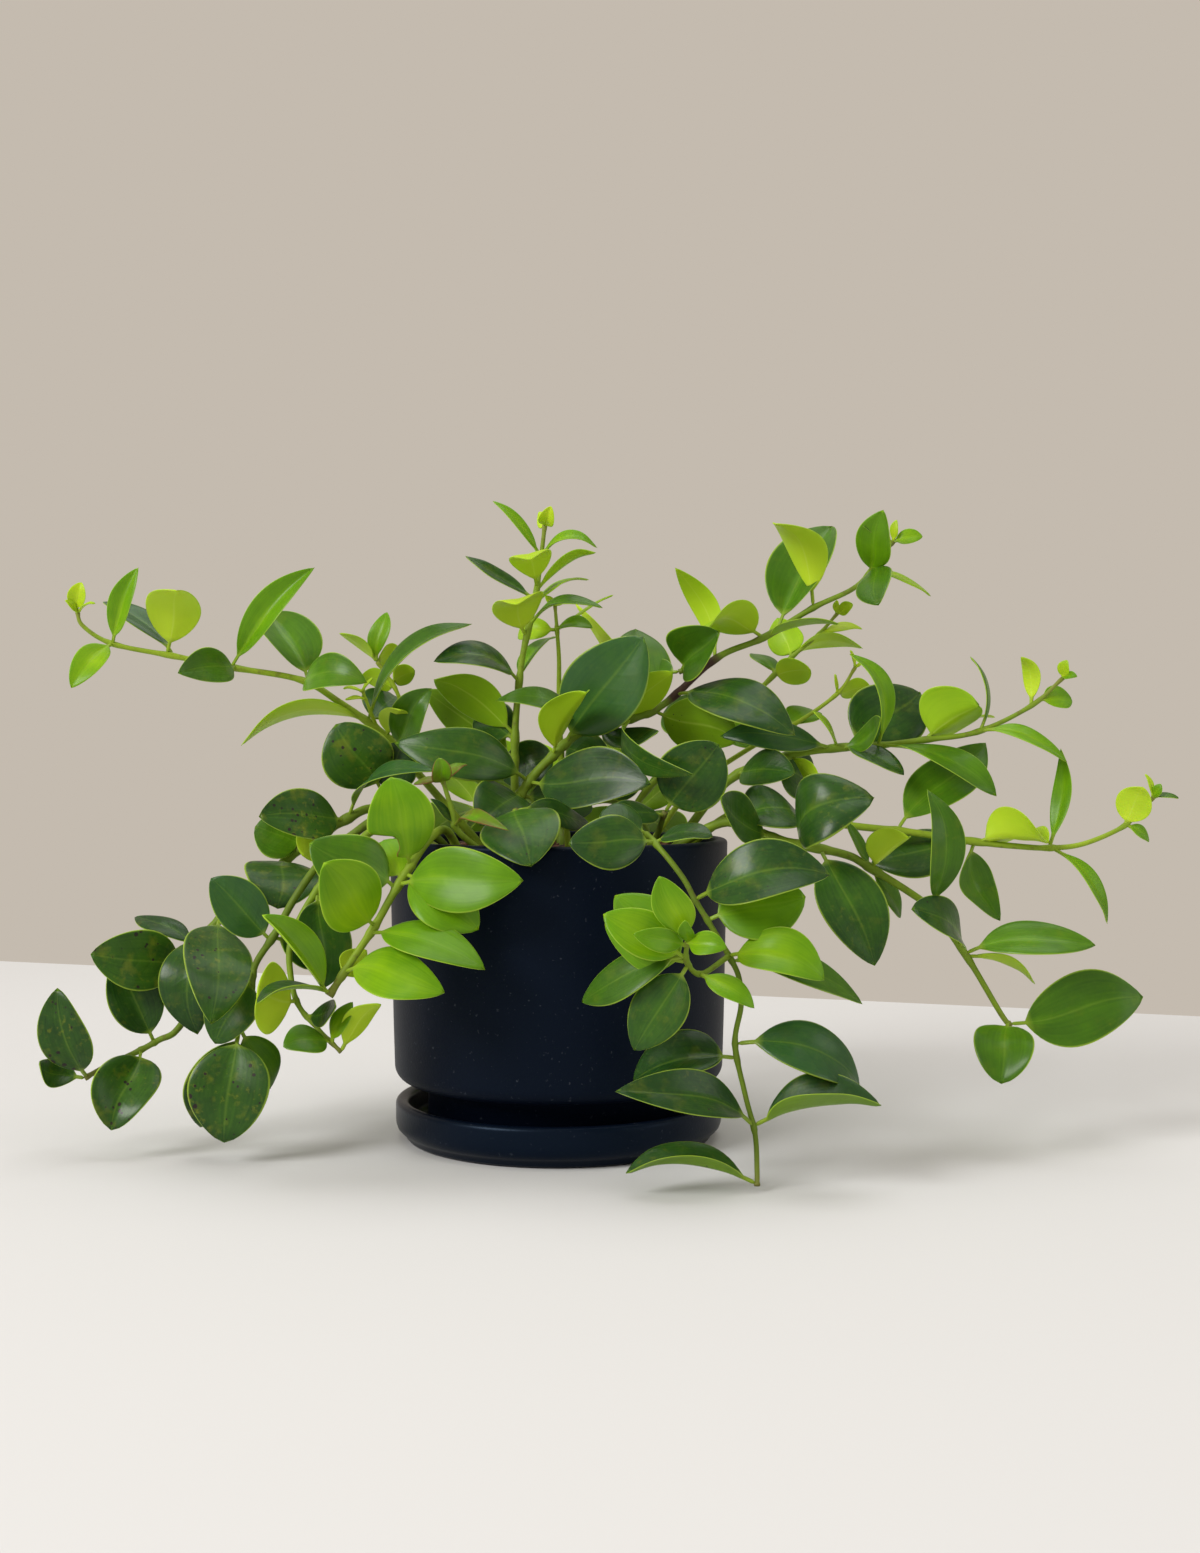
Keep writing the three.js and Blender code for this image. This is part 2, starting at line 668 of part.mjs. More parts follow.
// Leaf from its foot on the stem to its tip, with towards pointing at whoever looks at it
function leafSolid(foot, tip, towards, [width, face, bend, fold, twist = 0]) {
  const along = tip.clone().sub(foot);
  const length = along.length();
  along.normalize();
  const square = towards.clone().addScaledVector(along, -towards.dot(along)).normalize();
  const upward = towards.clone().cross(along).normalize().multiplyScalar(along.x < 0 ? -1 : 1);
  const turned = (degrees) => {
    const angle = THREE.MathUtils.degToRad(degrees);
    return square.clone().multiplyScalar(Math.cos(angle)).addScaledVector(upward, Math.sin(angle));
  };
  const arch = turned(face);
  const lift = THREE.MathUtils.degToRad(fold);
  const rows = width >= broadLeaf ? broadRows : width >= slimLeaf ? middleRows : slimRows;
  const rings = rows.map((share) => {
    const centre = foot.clone().addScaledVector(along, length * share);
    centre.addScaledVector(arch, bend * length * 4 * share * (1 - share));
    const heading = along.clone().addScaledVector(arch, bend * 4 * (1 - 2 * share)).normalize();
    const normal = turned(face + twist * (share - 0.5));
    normal.addScaledVector(heading, -normal.dot(heading)).normalize();
    const side = heading.clone().cross(normal);
    const inPetiole = share <= petiole.share;
    const blade = (share - petiole.share) / (1 - petiole.share);
    const spread = inPetiole ? 0 : width / 2 * bladeShare(blade, width / length);
    const half = Math.max(spread, petiole.halfWidth);
    const thickness = inPetiole ? petiole.thickness : bladeThickness;
    const corner = (across, level) => centre.clone()
      .addScaledVector(side, across * half * Math.cos(lift))
      .addScaledVector(normal, Math.abs(across) * half * Math.sin(lift) + level * thickness / 2);
    return [corner(1, 1), corner(0, 1), corner(-1, 1), corner(-1, -1), corner(0, -1), corner(1, -1)];
  });
  return toSolid(skin(rings, tip));
}

// Stem along its route, with the first straight stretch standing in the soil's hole
function stemSolid(curve, [startRadius, endRadius], root) {
  const spans = curve.points.length - 1;
  const steps = spans * stemStepsPerSpan;
  const heading = curve.getTangent(0);
  let sideways = new THREE.Vector3(1, 0, 0);
  const ringAt = (centre, direction, radius) => {
    sideways = sideways.clone().addScaledVector(direction, -sideways.dot(direction)).normalize();
    const across = direction.clone().cross(sideways);
    return Array.from({ length: stemSides }, (unused, side) => {
      const angle = 2 * Math.PI * side / stemSides;
      return centre.clone()
        .addScaledVector(sideways, -radius * Math.cos(angle))
        .addScaledVector(across, radius * Math.sin(angle));
    });
  };
  const up = new THREE.Vector3(0, 0, 1);
  const rings = [];
  if (root) {
    const bottom = new THREE.Vector3(root[0], root[1], soil.top - soil.holeDepth + seatGap);
    rings.push(ringAt(bottom, up, startRadius));
  } else if (Math.abs(heading.x) > Math.abs(heading.z)) {
    sideways = up.clone();
  }
  for (let step = 0; step <= steps; step++) {
    const share = step / steps;
    const direction = step === 0 && root ? up : curve.getTangent(share);
    const radius = startRadius + (endRadius - startRadius) * share;
    rings.push(ringAt(curve.getPoint(share), direction, radius));
  }
  return toSolid(skin(rings));
}

function vineMesh({ name, color, stems }) {
  let solid = null;
  for (const { root, thick, route, leaves } of stems) {
    const points = route.map(seen);
    if (root) {
      points.unshift(new THREE.Vector3(root[0], root[1], soil.top + 2 * soil.bump));
    }
    const curve = new THREE.CatmullRomCurve3(points, false, 'catmullrom', 0.5);
    const stem = stemSolid(curve, thick, root);
    solid = solid ? solid.add(stem) : stem;
    for (const [at, across, up, depth, ...form] of leaves) {
      const foot = curve.getPoint((at + (root ? 1 : 0)) / (points.length - 1));
      const tip = seen([across, up, depth]);
      const towards = viewer.clone().sub(foot.clone().lerp(tip, 0.5)).normalize();
      solid = solid.add(leafSolid(foot, tip, towards, form));
    }
  }
  return namedMesh(name, toGeometry(solid.asOriginal().simplify(surfaceEase)), color, 0.45);
}

function namedMesh(name, geometry, color, roughness) {
  const mesh = new THREE.Mesh(geometry, new THREE.MeshStandardMaterial({ color, roughness, metalness: 0 }));
  mesh.name = name;
  return mesh;
}

// Round body about the upright axis from a profile of radius and height
function turned(profile) {
  const points = profile.map(([radius, height]) => new THREE.Vector2(radius, height));
  return new THREE.LatheGeometry(points, turnSteps).rotateX(Math.PI / 2);
}

function quarterRound(centreRadius, centreHeight, radius, startAngle, steps) {
  return Array.from({ length: steps + 1 }, (unused, step) => {
    const angle = THREE.MathUtils.degToRad(startAngle) + Math.PI / 2 * step / steps;
    return [centreRadius + radius * Math.cos(angle), centreHeight + radius * Math.sin(angle)];
  });
}

function makeSaucer() {
  const lipRadius = saucer.height - saucer.shoulder;
  const profile = [
    [0, 0],
    [saucer.footRadius - 1, 0],
    [saucer.footRadius, 1],
    [saucer.footRadius, saucer.footHeight],
    [saucer.radius - 1.5, saucer.footHeight + 2.5],
    [saucer.radius, saucer.waist],
    ...quarterRound(saucer.radius - lipRadius, saucer.shoulder, lipRadius, 0, 2),
    [saucer.lipInner + 1, saucer.height - 0.6],
    [saucer.lipInner, saucer.shoulder],
    [saucer.lipInner - 1, saucer.floor + 3],
    [saucer.wellRadius, saucer.floor],
    [0, saucer.floor],
  ];
  return namedMesh('saucer', turned(profile), 0x14181f, 0.5);
}

function innerRadius(height) {
  const share = (height - pot.base) / (pot.rimHeight - pot.base);
  return pot.baseRadius + (pot.rimRadius - pot.baseRadius) * share - pot.wall;
}

function makePot() {
  const floor = pot.base + pot.floorThickness;
  const footBottom = saucer.floor + seatGap;
  const lip = pot.lipRound;
  const profile = [
    [pot.drainRadius, pot.base],
    [pot.footInner, pot.base],
    [pot.footInner, footBottom],
    [pot.footOuter, footBottom],
    [pot.footOuter, pot.base],
    ...quarterRound(pot.baseRadius - pot.corner, pot.base + pot.corner, pot.corner, -90, 3),
    [pot.rimRadius, pot.rimHeight - lip],
    [pot.rimRadius - lip, pot.rimHeight],
    [pot.rimRadius - pot.wall + lip, pot.rimHeight],
    [pot.rimRadius - pot.wall, pot.rimHeight - lip],
    [innerRadius(floor + pot.corner), floor + pot.corner],
    [innerRadius(floor) - pot.corner, floor],
    [pot.drainRadius, floor],
    [pot.drainRadius, pot.base],
  ];
  return namedMesh('pot', turned(profile), 0x10151c, 0.6);
}

// Soil that fills the pot, with an uneven top and a plain hole for each stem
function makeSoil() {
  const floor = pot.base + pot.floorThickness + seatGap;
  const profile = [
    [0, floor],
    [innerRadius(floor) - pot.corner - seatGap, floor],
    [innerRadius(floor + pot.corner) - 2 * seatGap, floor + pot.corner],
    [innerRadius(soil.top) - 2 * seatGap, soil.top],
    ...[0.82, 0.6, 0.38, 0.18].map((share) => [innerRadius(soil.top) * share, soil.top]),
    [0, soil.top],
  ];
  const geometry = turned(profile);
  const places = geometry.attributes.position;
  for (let index = 0; index < places.count; index++) {
    const x = places.getX(index);
    const y = places.getY(index);
    if (places.getZ(index) > soil.top - soil.bump && Math.hypot(x, y) < innerRadius(soil.top) * 0.9) {
      places.setZ(index, soil.top + soil.bump * Math.sin(x / 9) * Math.cos(y / 7 + x / 23));
    }
  }
  let solid = toSolid(geometry);
  for (const { stems } of vines) {
    const { root, thick } = stems[0];
    const radius = (thick[0] + soil.holeGap) / Math.cos(Math.PI / 6);
    const hole = new THREE.CylinderGeometry(radius, radius, 2 * soil.holeDepth, 6).rotateX(Math.PI / 2);
    solid = solid.subtract(toSolid(hole.translate(root[0], root[1], soil.top)));
  }
  return namedMesh('soil', toGeometry(solid), 0x2b211b, 0.9);
}

const plant = new THREE.Group();
plant.add(makeSaucer(), makePot(), makeSoil(), ...vines.map(vineMesh));

export default plant;
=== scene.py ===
"""Looks of a potted trailing plant with waxy paired leaves, in a dark pot on a saucer. Metres, +Z up."""

import math
import random

import bmesh
import bpy
from mathutils import Matrix, Vector, noise


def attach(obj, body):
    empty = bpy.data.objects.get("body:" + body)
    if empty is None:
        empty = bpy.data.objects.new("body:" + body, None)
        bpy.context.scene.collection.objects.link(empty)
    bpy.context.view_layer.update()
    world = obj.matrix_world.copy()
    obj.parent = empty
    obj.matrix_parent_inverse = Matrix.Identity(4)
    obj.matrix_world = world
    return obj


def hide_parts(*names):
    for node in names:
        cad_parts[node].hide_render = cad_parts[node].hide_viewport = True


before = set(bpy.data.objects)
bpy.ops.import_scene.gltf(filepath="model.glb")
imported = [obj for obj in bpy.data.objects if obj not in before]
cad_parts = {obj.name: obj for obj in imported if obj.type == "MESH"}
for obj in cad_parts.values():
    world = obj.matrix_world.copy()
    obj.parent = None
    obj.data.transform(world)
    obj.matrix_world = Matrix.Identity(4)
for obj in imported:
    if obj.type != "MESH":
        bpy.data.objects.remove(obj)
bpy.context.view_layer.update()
MM = 0.001
MERGE_DISTANCE = 1e-6

# Sizes of the pot, saucer and soil, in millimetres
RIM_RADIUS = 84
RIM_HEIGHT = 148
BASE_RADIUS = 81.5
BASE_HEIGHT = 29
WALL = 6
FLOOR_TOP = BASE_HEIGHT + 7
LIP = 2.2
FOOT_INSIDE = 59
FOOT_OUTSIDE = 65
FOOT_BOTTOM = 7.3
DRAIN_RADIUS = 7.5
SOIL_TOP = 141
SOIL_BUMP = 1.3
SOIL_GAP = 0.3
HOLE_DEPTH = 15

# Bark chips in the top of the soil
CHIPS = 420
CHIP_SEED = 11

# A leaf's blade and the petiole that carries it, in millimetres or as a share of the leaf's length
BLADE_THICKNESS = 0.95
PETIOLE_SHARE = 0.12
PETIOLE_HALF_WIDTH = 0.9
PETIOLE_THICKNESS = 1.6
GROOVE = 0.22

# A blade's half width follows share ** rise * (1 - share) ** fall, blunter where the blade is stouter
SLENDER = 0.95
STOUT = 0.5
LEAST = 0.5
MOST = 0.85
POINTED = 0.15

# How uneven a blade is, as a share of its width
RIPPLE = 0.014
SWELL = 0.035

# A stem swells where leaves join it, and its woody stretch fades in and out, in points of its route
KNOT_REACH = 0.11
KNOT_SWELLING = 0.3
WOODY_FADE = 0.15

# Each vine is uneven in its own way, from this seed and its place in the list
VINE_SEED = 100

# How finely the leaves and stems are divided
LEAF_AROUND = 28
LEAF_ALONG = 26
STEM_AROUND = 12
STEM_STEPS_PER_SPAN = 9

# Places on the plant are read in the plane of the pot's middle, as seen level from the front
VIEWER = Vector((20.5, -900, 193))

# The camera stands level at the viewer's place
LENS = 41.73
SHIFT = -0.0184

# What each letter of a stem's shades means for a leaf: age from young to old, spots, painted teal sheen
# with gloss, brown
SHADES = {
    "y": (0.05, 0.0, 0.0, 0.0),
    "l": (0.22, 0.0, 0.0, 0.0),
    "b": (0.42, 0.0, 0.0, 0.0),
    "g": (0.66, 0.3, 0.1, 0.0),
    "t": (0.85, 0.1, 0.8, 0.0),
    "d": (0.9, 0.4, 0.25, 0.0),
    "o": (0.85, 1.0, 0.2, 0.0),
    "n": (0.5, 0.2, 0.0, 0.9),
}

# Each vine has one or more stems. The first grows from the soil at root, and the others branch off.
# A stem's thick is its radius at the start and the end, and its shades hold one letter for each leaf.
# Its woody stretch is brown, and bites names the leaves whose margin is eaten away.
# A leaf is [place on the route, tip across, tip up, tip depth, width, face, bend, fold, twist]
VINES = [
    {"name": "vine_upper_left", "stems": [
        {"root": [-40, 14], "thick": [2.1, 0.9], "shades": "yyybbytbggglgtgy",
         "route": [[-72, 182, 16], [-88, 200, 14], [-110, 216, 12], [-129, 227, 10], [-162, 233, 4],
                   [-193, 239, 0], [-223, 245, -4], [-238, 254, -6], [-241, 262, -6]],
         "leaves": [[8, -239, 276, -10, 10, 20, 0.1, 20], [7.8, -247, 267, -12, 4, 30, 0.1, 15],
                    [7.8, -232, 266, -14, 4, 90, 0.1, 10], [6, -210, 283, -12, 15, 30, 0.1, 28],
                    [6, -244, 223, -24, 16, 30, 0.12, 15], [5.1, -191, 271, -32, 27, 180, 0.22, 8],
                    [5, -228, 268, 18, 18, 50, 0.08, 10], [4.05, -122, 283, -8, 22, 32, 0.1, 38],
                    [4, -191, 230, -34, 21, 20, 0.12, 15], [2.85, -145, 259, 36, 33, 28, 0.1, 26],
                    [2.9, -96, 226, -22, 22, 25, 0.2, 15], [1.27, -160, 195, -10, 22, 112, 0.2, 4],
                    [1.35, -44, 257, 4, 24, 68, 0.15, 20], [1.3, -82, 219, 40, 24, 15, 0.1, 8],
                    [0.6, -64, 223, -2, 21, 15, 0.12, 22], [0.9, -79, 213, -8, 15, 160, 0.1, 10]]},
        {"thick": [1.3, 0.8], "shades": "blyyl",
         "route": [[-84, 195, 15], [-79, 211, 22], [-82, 223, 25], [-91, 236, 26]],
         "leaves": [[3, -86, 261, 30, 12, 30, 0.1, 20], [3, -110, 250, 20, 12, 115, 0.1, 8],
                    [3, -79, 241, 34, 16, 130, 0.1, 5], [2.2, -72, 232, 30, 14, 140, 0.1, 5],
                    [2, -99, 229, 34, 12, 140, 0.1, 5]]},
        {"thick": [1.1, 0.7], "shades": "yyy",
         "route": [[-91, 203, 14], [-95, 213, 8], [-98, 221, 6]],
         "leaves": [[2, -108, 223, 2, 3, 60, 0.1, 10], [2, -93, 228, 8, 3, 60, 0.1, 10],
                    [1.5, -107, 217, 0, 4, 60, 0.1, 10]]},
    ]},
    {"name": "vine_centre", "stems": [
        {"root": [-20, 12], "thick": [2.2, 1], "shades": "yybbybdbygdbgdg",
         "route": [[-22, 172, 14], [-22, 196, 14], [-21, 215, 14], [-18, 240, 14], [-12, 267, 14],
                   [-9, 288, 14], [-7, 305, 14]],
         "leaves": [[6, -4, 314, 4, 9, 0, 0.25, 20], [5.9, -10, 311, 22, 8, 160, 0.1, 15],
                    [5, -33, 317, 10, 8, 45, 0.08, 22], [5, 20, 294, 6, 10, 60, 0.28, 18],
                    [4.25, -14, 287, -26, 23, 180, 0.22, 12], [4.2, 18, 292, 26, 10, 118, 0.1, 8],
                    [4, -46, 290, 8, 13, 58, -0.02, 15], [3.9, 15, 278, 36, 11, 80, 0.1, 10],
                    [3.3, -21, 266, -26, 28, 180, 0.2, 6], [3.5, 22, 263, 0, 15, 70, 0.2, 18],
                    [2.45, -63, 237, -2, 25, 60, 0.2, 10], [2.45, -2, 250, 38, 14, 60, 0.1, 10],
                    [1.15, -63, 229, -4, 25, 145, 0.12, 5], [1.05, -41, 211, 30, 24, 20, 0.1, 5],
                    [0.6, -68, 222, 32, 24, 165, 0.08, 12]]},
    ]},
    {"name": "shoot_centre", "stems": [
        {"root": [4, 24], "thick": [1.6, 0.8], "shades": "yylbldd",
         "route": [[1, 190, 28], [0, 217, 26], [0, 237, 24], [-1, 252, 24], [-2, 264, 24]],
         "leaves": [[4, -7, 269, 22, 4, 20, 0.1, 10], [4, 4, 268, 22, 4, 20, 0.1, 10],
                    [3, -21, 248, 32, 14, 35, 0.2, 8], [3, 17, 253, 16, 10, 50, 0.2, 12],
                    [3, 27, 270, 22, 6, 80, 0.02, 5], [0, -28, 178, 36, 26, 20, 0.1, 5],
                    [0.1, 26, 184, 26, 24, 20, 0.1, 5]]},
    ]},
    {"name": "vine_upper_right", "stems": [
        {"root": [-10, -4], "woody": [6.1, 6.95], "thick": [2.6, 1], "shades": "ybgbglyglgldggylddtgldddd",
         "route": [[-21, 162, -2], [-15, 176, 0], [-3, 189, 2], [13, 202, 6], [38, 208, 8],
                   [54, 216, 10], [79, 238, 12], [102, 248, 12], [127, 263, 10], [149, 274, 8],
                   [162, 290, 6], [167, 296, 6]],
         "leaves": [[11, 169, 307, 4, 5, 20, 0.1, 10], [11, 182, 299, 4, 9, 30, 0.1, 12],
                    [10.8, 152, 304, -12, 8, 35, 0.1, 12], [9.4, 162, 312, -16, 20, 12, 0.1, 14],
                    [9.6, 160, 264, -28, 20, 20, 0.06, 8], [9.45, 186, 269, 12, 12, 75, 0.08, 8],
                    [8, 107, 304, -32, 25, 140, 0.22, 10], [7.3, 136, 305, 36, 40, 32, 0.05, 30],
                    [7, 73, 253, -10, 29, 125, 0.22, 10], [7, 140, 255, -4, 22, 104, 0.08, 8],
                    [5.95, 58, 283, 4, 16, 155, 0.28, 5], [5.2, 119, 201, -34, 32, 45, 0.12, 10],
                    [4.6, 90, 197, 2, 30, 160, 0.05, 4], [4.4, 39, 254, 40, 32, 20, 0.02, 10],
                    [4.4, 9, 266, 52, 12, 120, 0.02, 5], [3.4, 57, 231, -6, 22, 150, 0.02, 4],
                    [3.2, 50, 201, -16, 22, 60, -0.16, 15], [3.9, 67, 179, -56, 15, -45, 0.22, 8],
                    [2.4, 42, 249, -14, 42, 12, 0.06, 8], [3, -32, 217, -8, 19, 60, 0.2, 5],
                    [2, 14, 220, -46, 34, 135, 0.05, 45], [1, 46, 175, -40, 31, 18, 0.05, 6],
                    [1, -82, 195, -14, 28, 22, 0.2, 8], [0.5, 17, 163, 20, 26, 30, 0.05, 5],
                    [0.5, -40, 154, -40, 30, 20, 0.1, 12]]},
        {"thick": [1.4, 1.1], "shades": "gg",
         "route": [[79, 238, 12], [68, 234, 14], [60, 231, 16]],
         "leaves": [[1.8, 80, 251, -12, 34, 30, 0.05, 38], [2, 40, 226, 34, 20, 50, 0.1, 5]]},
    ]},
    {"name": "vine_right_fork", "stems": [
        {"root": [28, 34], "thick": [1.8, 0.8], "shades": "yyylblggbdd",
         "route": [[44, 172, 42], [72, 196, 46], [101, 223, 46], [116, 238, 44], [130, 250, 42],
                   [139, 260, 42]],
         "leaves": [[5, 147, 265, 38, 7, 20, 0.1, 10], [5, 139, 267, 42, 4, 30, 0.1, 10],
                    [4, 152, 253, 46, 9, 60, 0.1, 10], [3, 152, 243, 38, 18, 118, 0.2, 5],
                    [3, 109, 258, 56, 20, 170, 0.08, 5], [2.3, 126, 232, 36, 20, 140, 0.12, 5],
                    [2.4, 97, 240, 62, 16, 60, 0.1, 5], [1.2, 54, 214, 66, 30, 20, 0.1, 5],
                    [1.1, 104, 206, 66, 30, 30, 0.1, 5], [0, 18, 178, 52, 25, 30, 0.1, 5],
                    [0.3, 82, 176, 62, 26, 30, 0.1, 5]]},
    ]},
    {"name": "vine_right_twig", "stems": [
        {"root": [46, 22], "thick": [1.6, 0.8], "shades": "yylyb",
         "route": [[66, 172, 26], [94, 192, 28], [118, 205, 28], [139, 220, 26], [148, 233, 26]],
         "leaves": [[4, 146, 242, 24, 3, 60, 0.02, 10], [4, 152, 236, 24, 3, 60, 0.02, 10],
                    [3, 156, 223, 30, 13, 140, 0.1, 5], [3, 138, 230, 22, 3, 60, 0.02, 5],
                    [1.9, 128, 212, 46, 18, 40, 0.08, 5]]},
    ]},
    {"name": "vine_right_high", "stems": [
        {"root": [58, 2], "thick": [2.3, 0.9], "shades": "ybybgbblbgdlgdtldd",
         "route": [[84, 176, 4], [110, 188, 2], [139, 193, 0], [158, 194, -2], [182, 197, -4],
                   [209, 201, -4], [236, 214, -2], [252, 228, 0]],
         "leaves": [[7, 254, 237, -4, 7, 20, 0.1, 12], [7, 259, 229, -8, 5, 40, 0.1, 12],
                    [6, 231, 239, -8, 10, 155, 0.25, 8], [6.2, 256, 217, 8, 14, 30, 0.1, 8],
                    [5.05, 206, 239, 4, 12, 82, 0.16, 8], [5.05, 254, 186, -12, 14, 60, 0.14, 15],
                    [4.05, 210, 214, -16, 40, 145, 0.1, 35], [4.1, 218, 208, 16, 14, 80, 0.1, 8],
                    [3.05, 146, 241, -10, 19, 58, 0.22, 18],
                    [3.1, 219, 169, -22, 22, 62, 0.12, 8, -70], [2.25, 181, 222, 20, 36, 10, 0.05, 6],
                    [2, 127, 211, -12, 10, 75, 0.08, 10], [2, 160, 208, -28, 14, 40, -0.2, 10],
                    [2.1, 172, 179, -16, 18, 60, 0.1, 14], [1.9, 80, 200, -6, 18, 30, 0.1, 5],
                    [1.2, 132, 170, -20, 14, 120, 0.05, 5], [0.9, 126, 172, 24, 26, 30, 0.1, 5],
                    [0.2, 118, 180, -22, 24, 35, 0.1, 8]]},
    ]},
    {"name": "vine_right_low", "stems": [
        {"root": [62, -14], "thick": [2.2, 0.9], "shades": "ygbybbbygdg",
         "route": [[90, 161, -14], [120, 158, -12], [147, 154, -12], [175, 151, -12], [209, 146, -12],
                   [227, 144, -12], [245, 143, -12], [262, 145, -12], [281, 153, -12], [290, 161, -12],
                   [297, 168, -12]],
         "leaves": [[10, 293, 180, -12, 4, 50, 0.1, 10], [10, 310, 168, -14, 5, 60, 0.12, 10],
                    [10, 301, 175, -16, 6, 20, 0.1, 10], [8.1, 292, 174, -22, 17, 175, 0.1, 4],
                    [8.2, 295, 146, -8, 8, 50, 0.12, 8], [6, 251, 193, -8, 11, 28, -0.14, 12],
                    [6.05, 275, 105, -16, 13, 55, 0.14, 18],
                    [4, 245, 146, -28, 36, 120, 0.05, 42, -90], [2.8, 214, 197, 10, 26, 12, 0.02, 6],
                    [3.95, 156, 136, -4, 27, 28, 0.02, 5], [3.95, 221, 108, -10, 24, 40, -0.28, 22]]},
    ]},
    {"name": "vine_right_drooping", "stems": [
        {"root": [54, -28], "thick": [2.4, 1.2], "shades": "gggldgyggdddd",
         "route": [[84, 156, -34], [110, 147, -38], [142, 140, -38], [154, 134, -38], [178, 119, -38],
                   [186, 112, -38], [203, 90, -38], [221, 60, -38], [226, 54, -38]],
         "leaves": [[7.7, 293, 69, -36, 36, 5, 0.02, 5], [7.6, 221, 25, -62, 31, 5, 0.15, 14],
                    [6, 268, 94, -46, 24, 42, 0.12, 12], [6.05, 239, 76, -26, 18, 100, 0.08, 8, -50],
                    [5.9, 176, 112, -58, 30, 60, 0.18, 10], [4.9, 185, 174, -52, 19, 32, 0.24, 12],
                    [3.1, 175, 149, -50, 26, 135, 0.05, 42], [3.1, 143, 156, -30, 11, 60, 0.02, 12],
                    [3.1, 172, 108, -28, 14, 50, 0.02, 14], [1.35, 158, 169, -66, 39, 40, 0.36, 10],
                    [1.6, 158, 84, -58, 31, 18, 0.1, 12], [0.9, 81, 168, -70, 24, 40, -0.12, 14],
                    [0.2, 121, 160, -24, 34, 45, 0.2, 8]]},
    ]},
    {"name": "vine_front_right", "stems": [
        {"root": [34, -50], "thick": [1.35, 1.15], "shades": "ddddtgbbdddd",
         "route": [[42, 150, -76], [51, 142, -94], [62, 128, -100], [68, 117, -102], [76, 104, -104],
                   [85, 89, -106], [90, 78, -108], [91, 64, -108], [88, 45, -108], [93, 20, -110],
                   [98, 0, -112], [99, -18, -116], [99, -26, -119]],
         "leaves": [[11.9, 33, -18, -126, 26, 70, 0.1, 42], [9.8, 28, 21, -136, 24, 40, 0.14, 20],
                    [9.8, 161, 17, -126, 32, 66, 0.06, 46], [8.3, 37, 26, -98, 31, 45, 0.14, 20],
                    [8, 151, 24, -98, 27, 35, 0.24, 12], [5.2, 152, 65, -100, 20, 50, 0.13, 10],
                    [5, 133, 77, -122, 26, 35, 0.22, 15], [3.8, 123, 118, -104, 32, 20, 0.08, 8],
                    [3, 136, 130, -118, 29, 30, 0.2, 6], [0.7, 5, 146, -104, 25, 20, 0.05, 4],
                    [0.7, 77, 150, -100, 19, 66, 0.1, 8], [0.2, 20, 160, -82, 22, 50, 0.1, 5]]},
        {"thick": [1.3, 1], "shades": "bbbbbbbgdb",
         "route": [[85, 89, -107], [71, 80, -118], [64, 86, -127], [64, 96, -131]],
         "leaves": [[3, 50, 129, -136, 17, 0, 0.05, 10], [3, 63, 107, -140, 7, 0, 0.1, 10],
                    [3, 84, 93, -142, 11, 10, 0.12, 12], [2.8, 37, 100, -142, 11, 10, 0.08, 12],
                    [2.2, 22, 110, -130, 23, 12, 0.05, 8], [2, 22, 105, -120, 23, -15, 0.06, 8],
                    [1.9, 28, 119, -112, 24, 20, 0.06, 6], [2.3, 11, 66, -112, 22, 35, 0.1, 5],
                    [1.85, 38, 42, -124, 24, 8, 0.06, 8], [1.1, 98, 63, -130, 11, 28, 0.12, 8]]},
    ]},
    {"name": "vine_front_left", "stems": [
        {"root": [-46, -46], "bites": {0: (0, 0.3, 0.13, 0.8)}, "thick": [2.1, 1.6],
         "shades": "bbbgbbbbbyd",
         "route": [[-57, 152, -54], [-66, 146, -68], [-76, 131, -76], [-83, 120, -80], [-92, 104, -84],
                   [-104, 86, -87], [-115, 69, -90]],
         "leaves": [[1.8, -84, 179, -84, 32, 0, 0.1, 5], [2.6, -18, 127, -106, 30, 14, 0.08, 8],
                    [2.1, -40, 102, -94, 29, 10, 0.14, 12], [2.8, -125, 145, -92, 30, 20, 0.08, 5],
                    [2.4, -88, 147, -66, 26, 10, 0.1, 5], [4, -118, 136, -110, 31, 3, 0.06, 8],
                    [4.2, -37, 82, -110, 25, 38, 0.12, 8], [5.3, -57, 72, -116, 27, 33, 0.12, 8],
                    [6, -148, 110, -104, 25, 55, 0.02, 42], [5.4, -96, 92, -72, 14, 160, 0.1, 5],
                    [5.9, -152, 67, -112, 20, 80, 0.1, 12]]},
    ]},
    {"name": "vine_left_inner", "stems": [
        {"root": [-56, -32], "thick": [2.2, 0.9], "shades": "lbgdyd",
         "route": [[-86, 154, -42], [-106, 140, -52], [-124, 117, -60], [-134, 96, -66],
                   [-134, 78, -70], [-130, 64, -74], [-120, 52, -80], [-109, 41, -84]],
         "leaves": [[7, -89, 65, -92, 15, 140, 0.15, 8], [6.6, -103, 66, -84, 11, 40, 0.12, 8],
                    [6.5, -138, 44, -96, 17, 40, 0.1, 8], [5.4, -112, 64, -98, 13, 40, -0.1, 8],
                    [4.8, -151, 68, -98, 32, 172, 0.06, 8], [1.8, -117, 73, -74, 28, 20, 0.04, 8]]},
    ]},
    {"name": "vine_left_middle", "stems": [
        {"root": [-62, -18], "thick": [2.3, 1.3], "shades": "oogdtd",
         "route": [[-86, 158, -28], [-104, 149, -38], [-119, 136, -50], [-132, 118, -58],
                   [-142, 100, -58], [-152, 84, -58], [-154, 68, -58], [-160, 51, -58]],
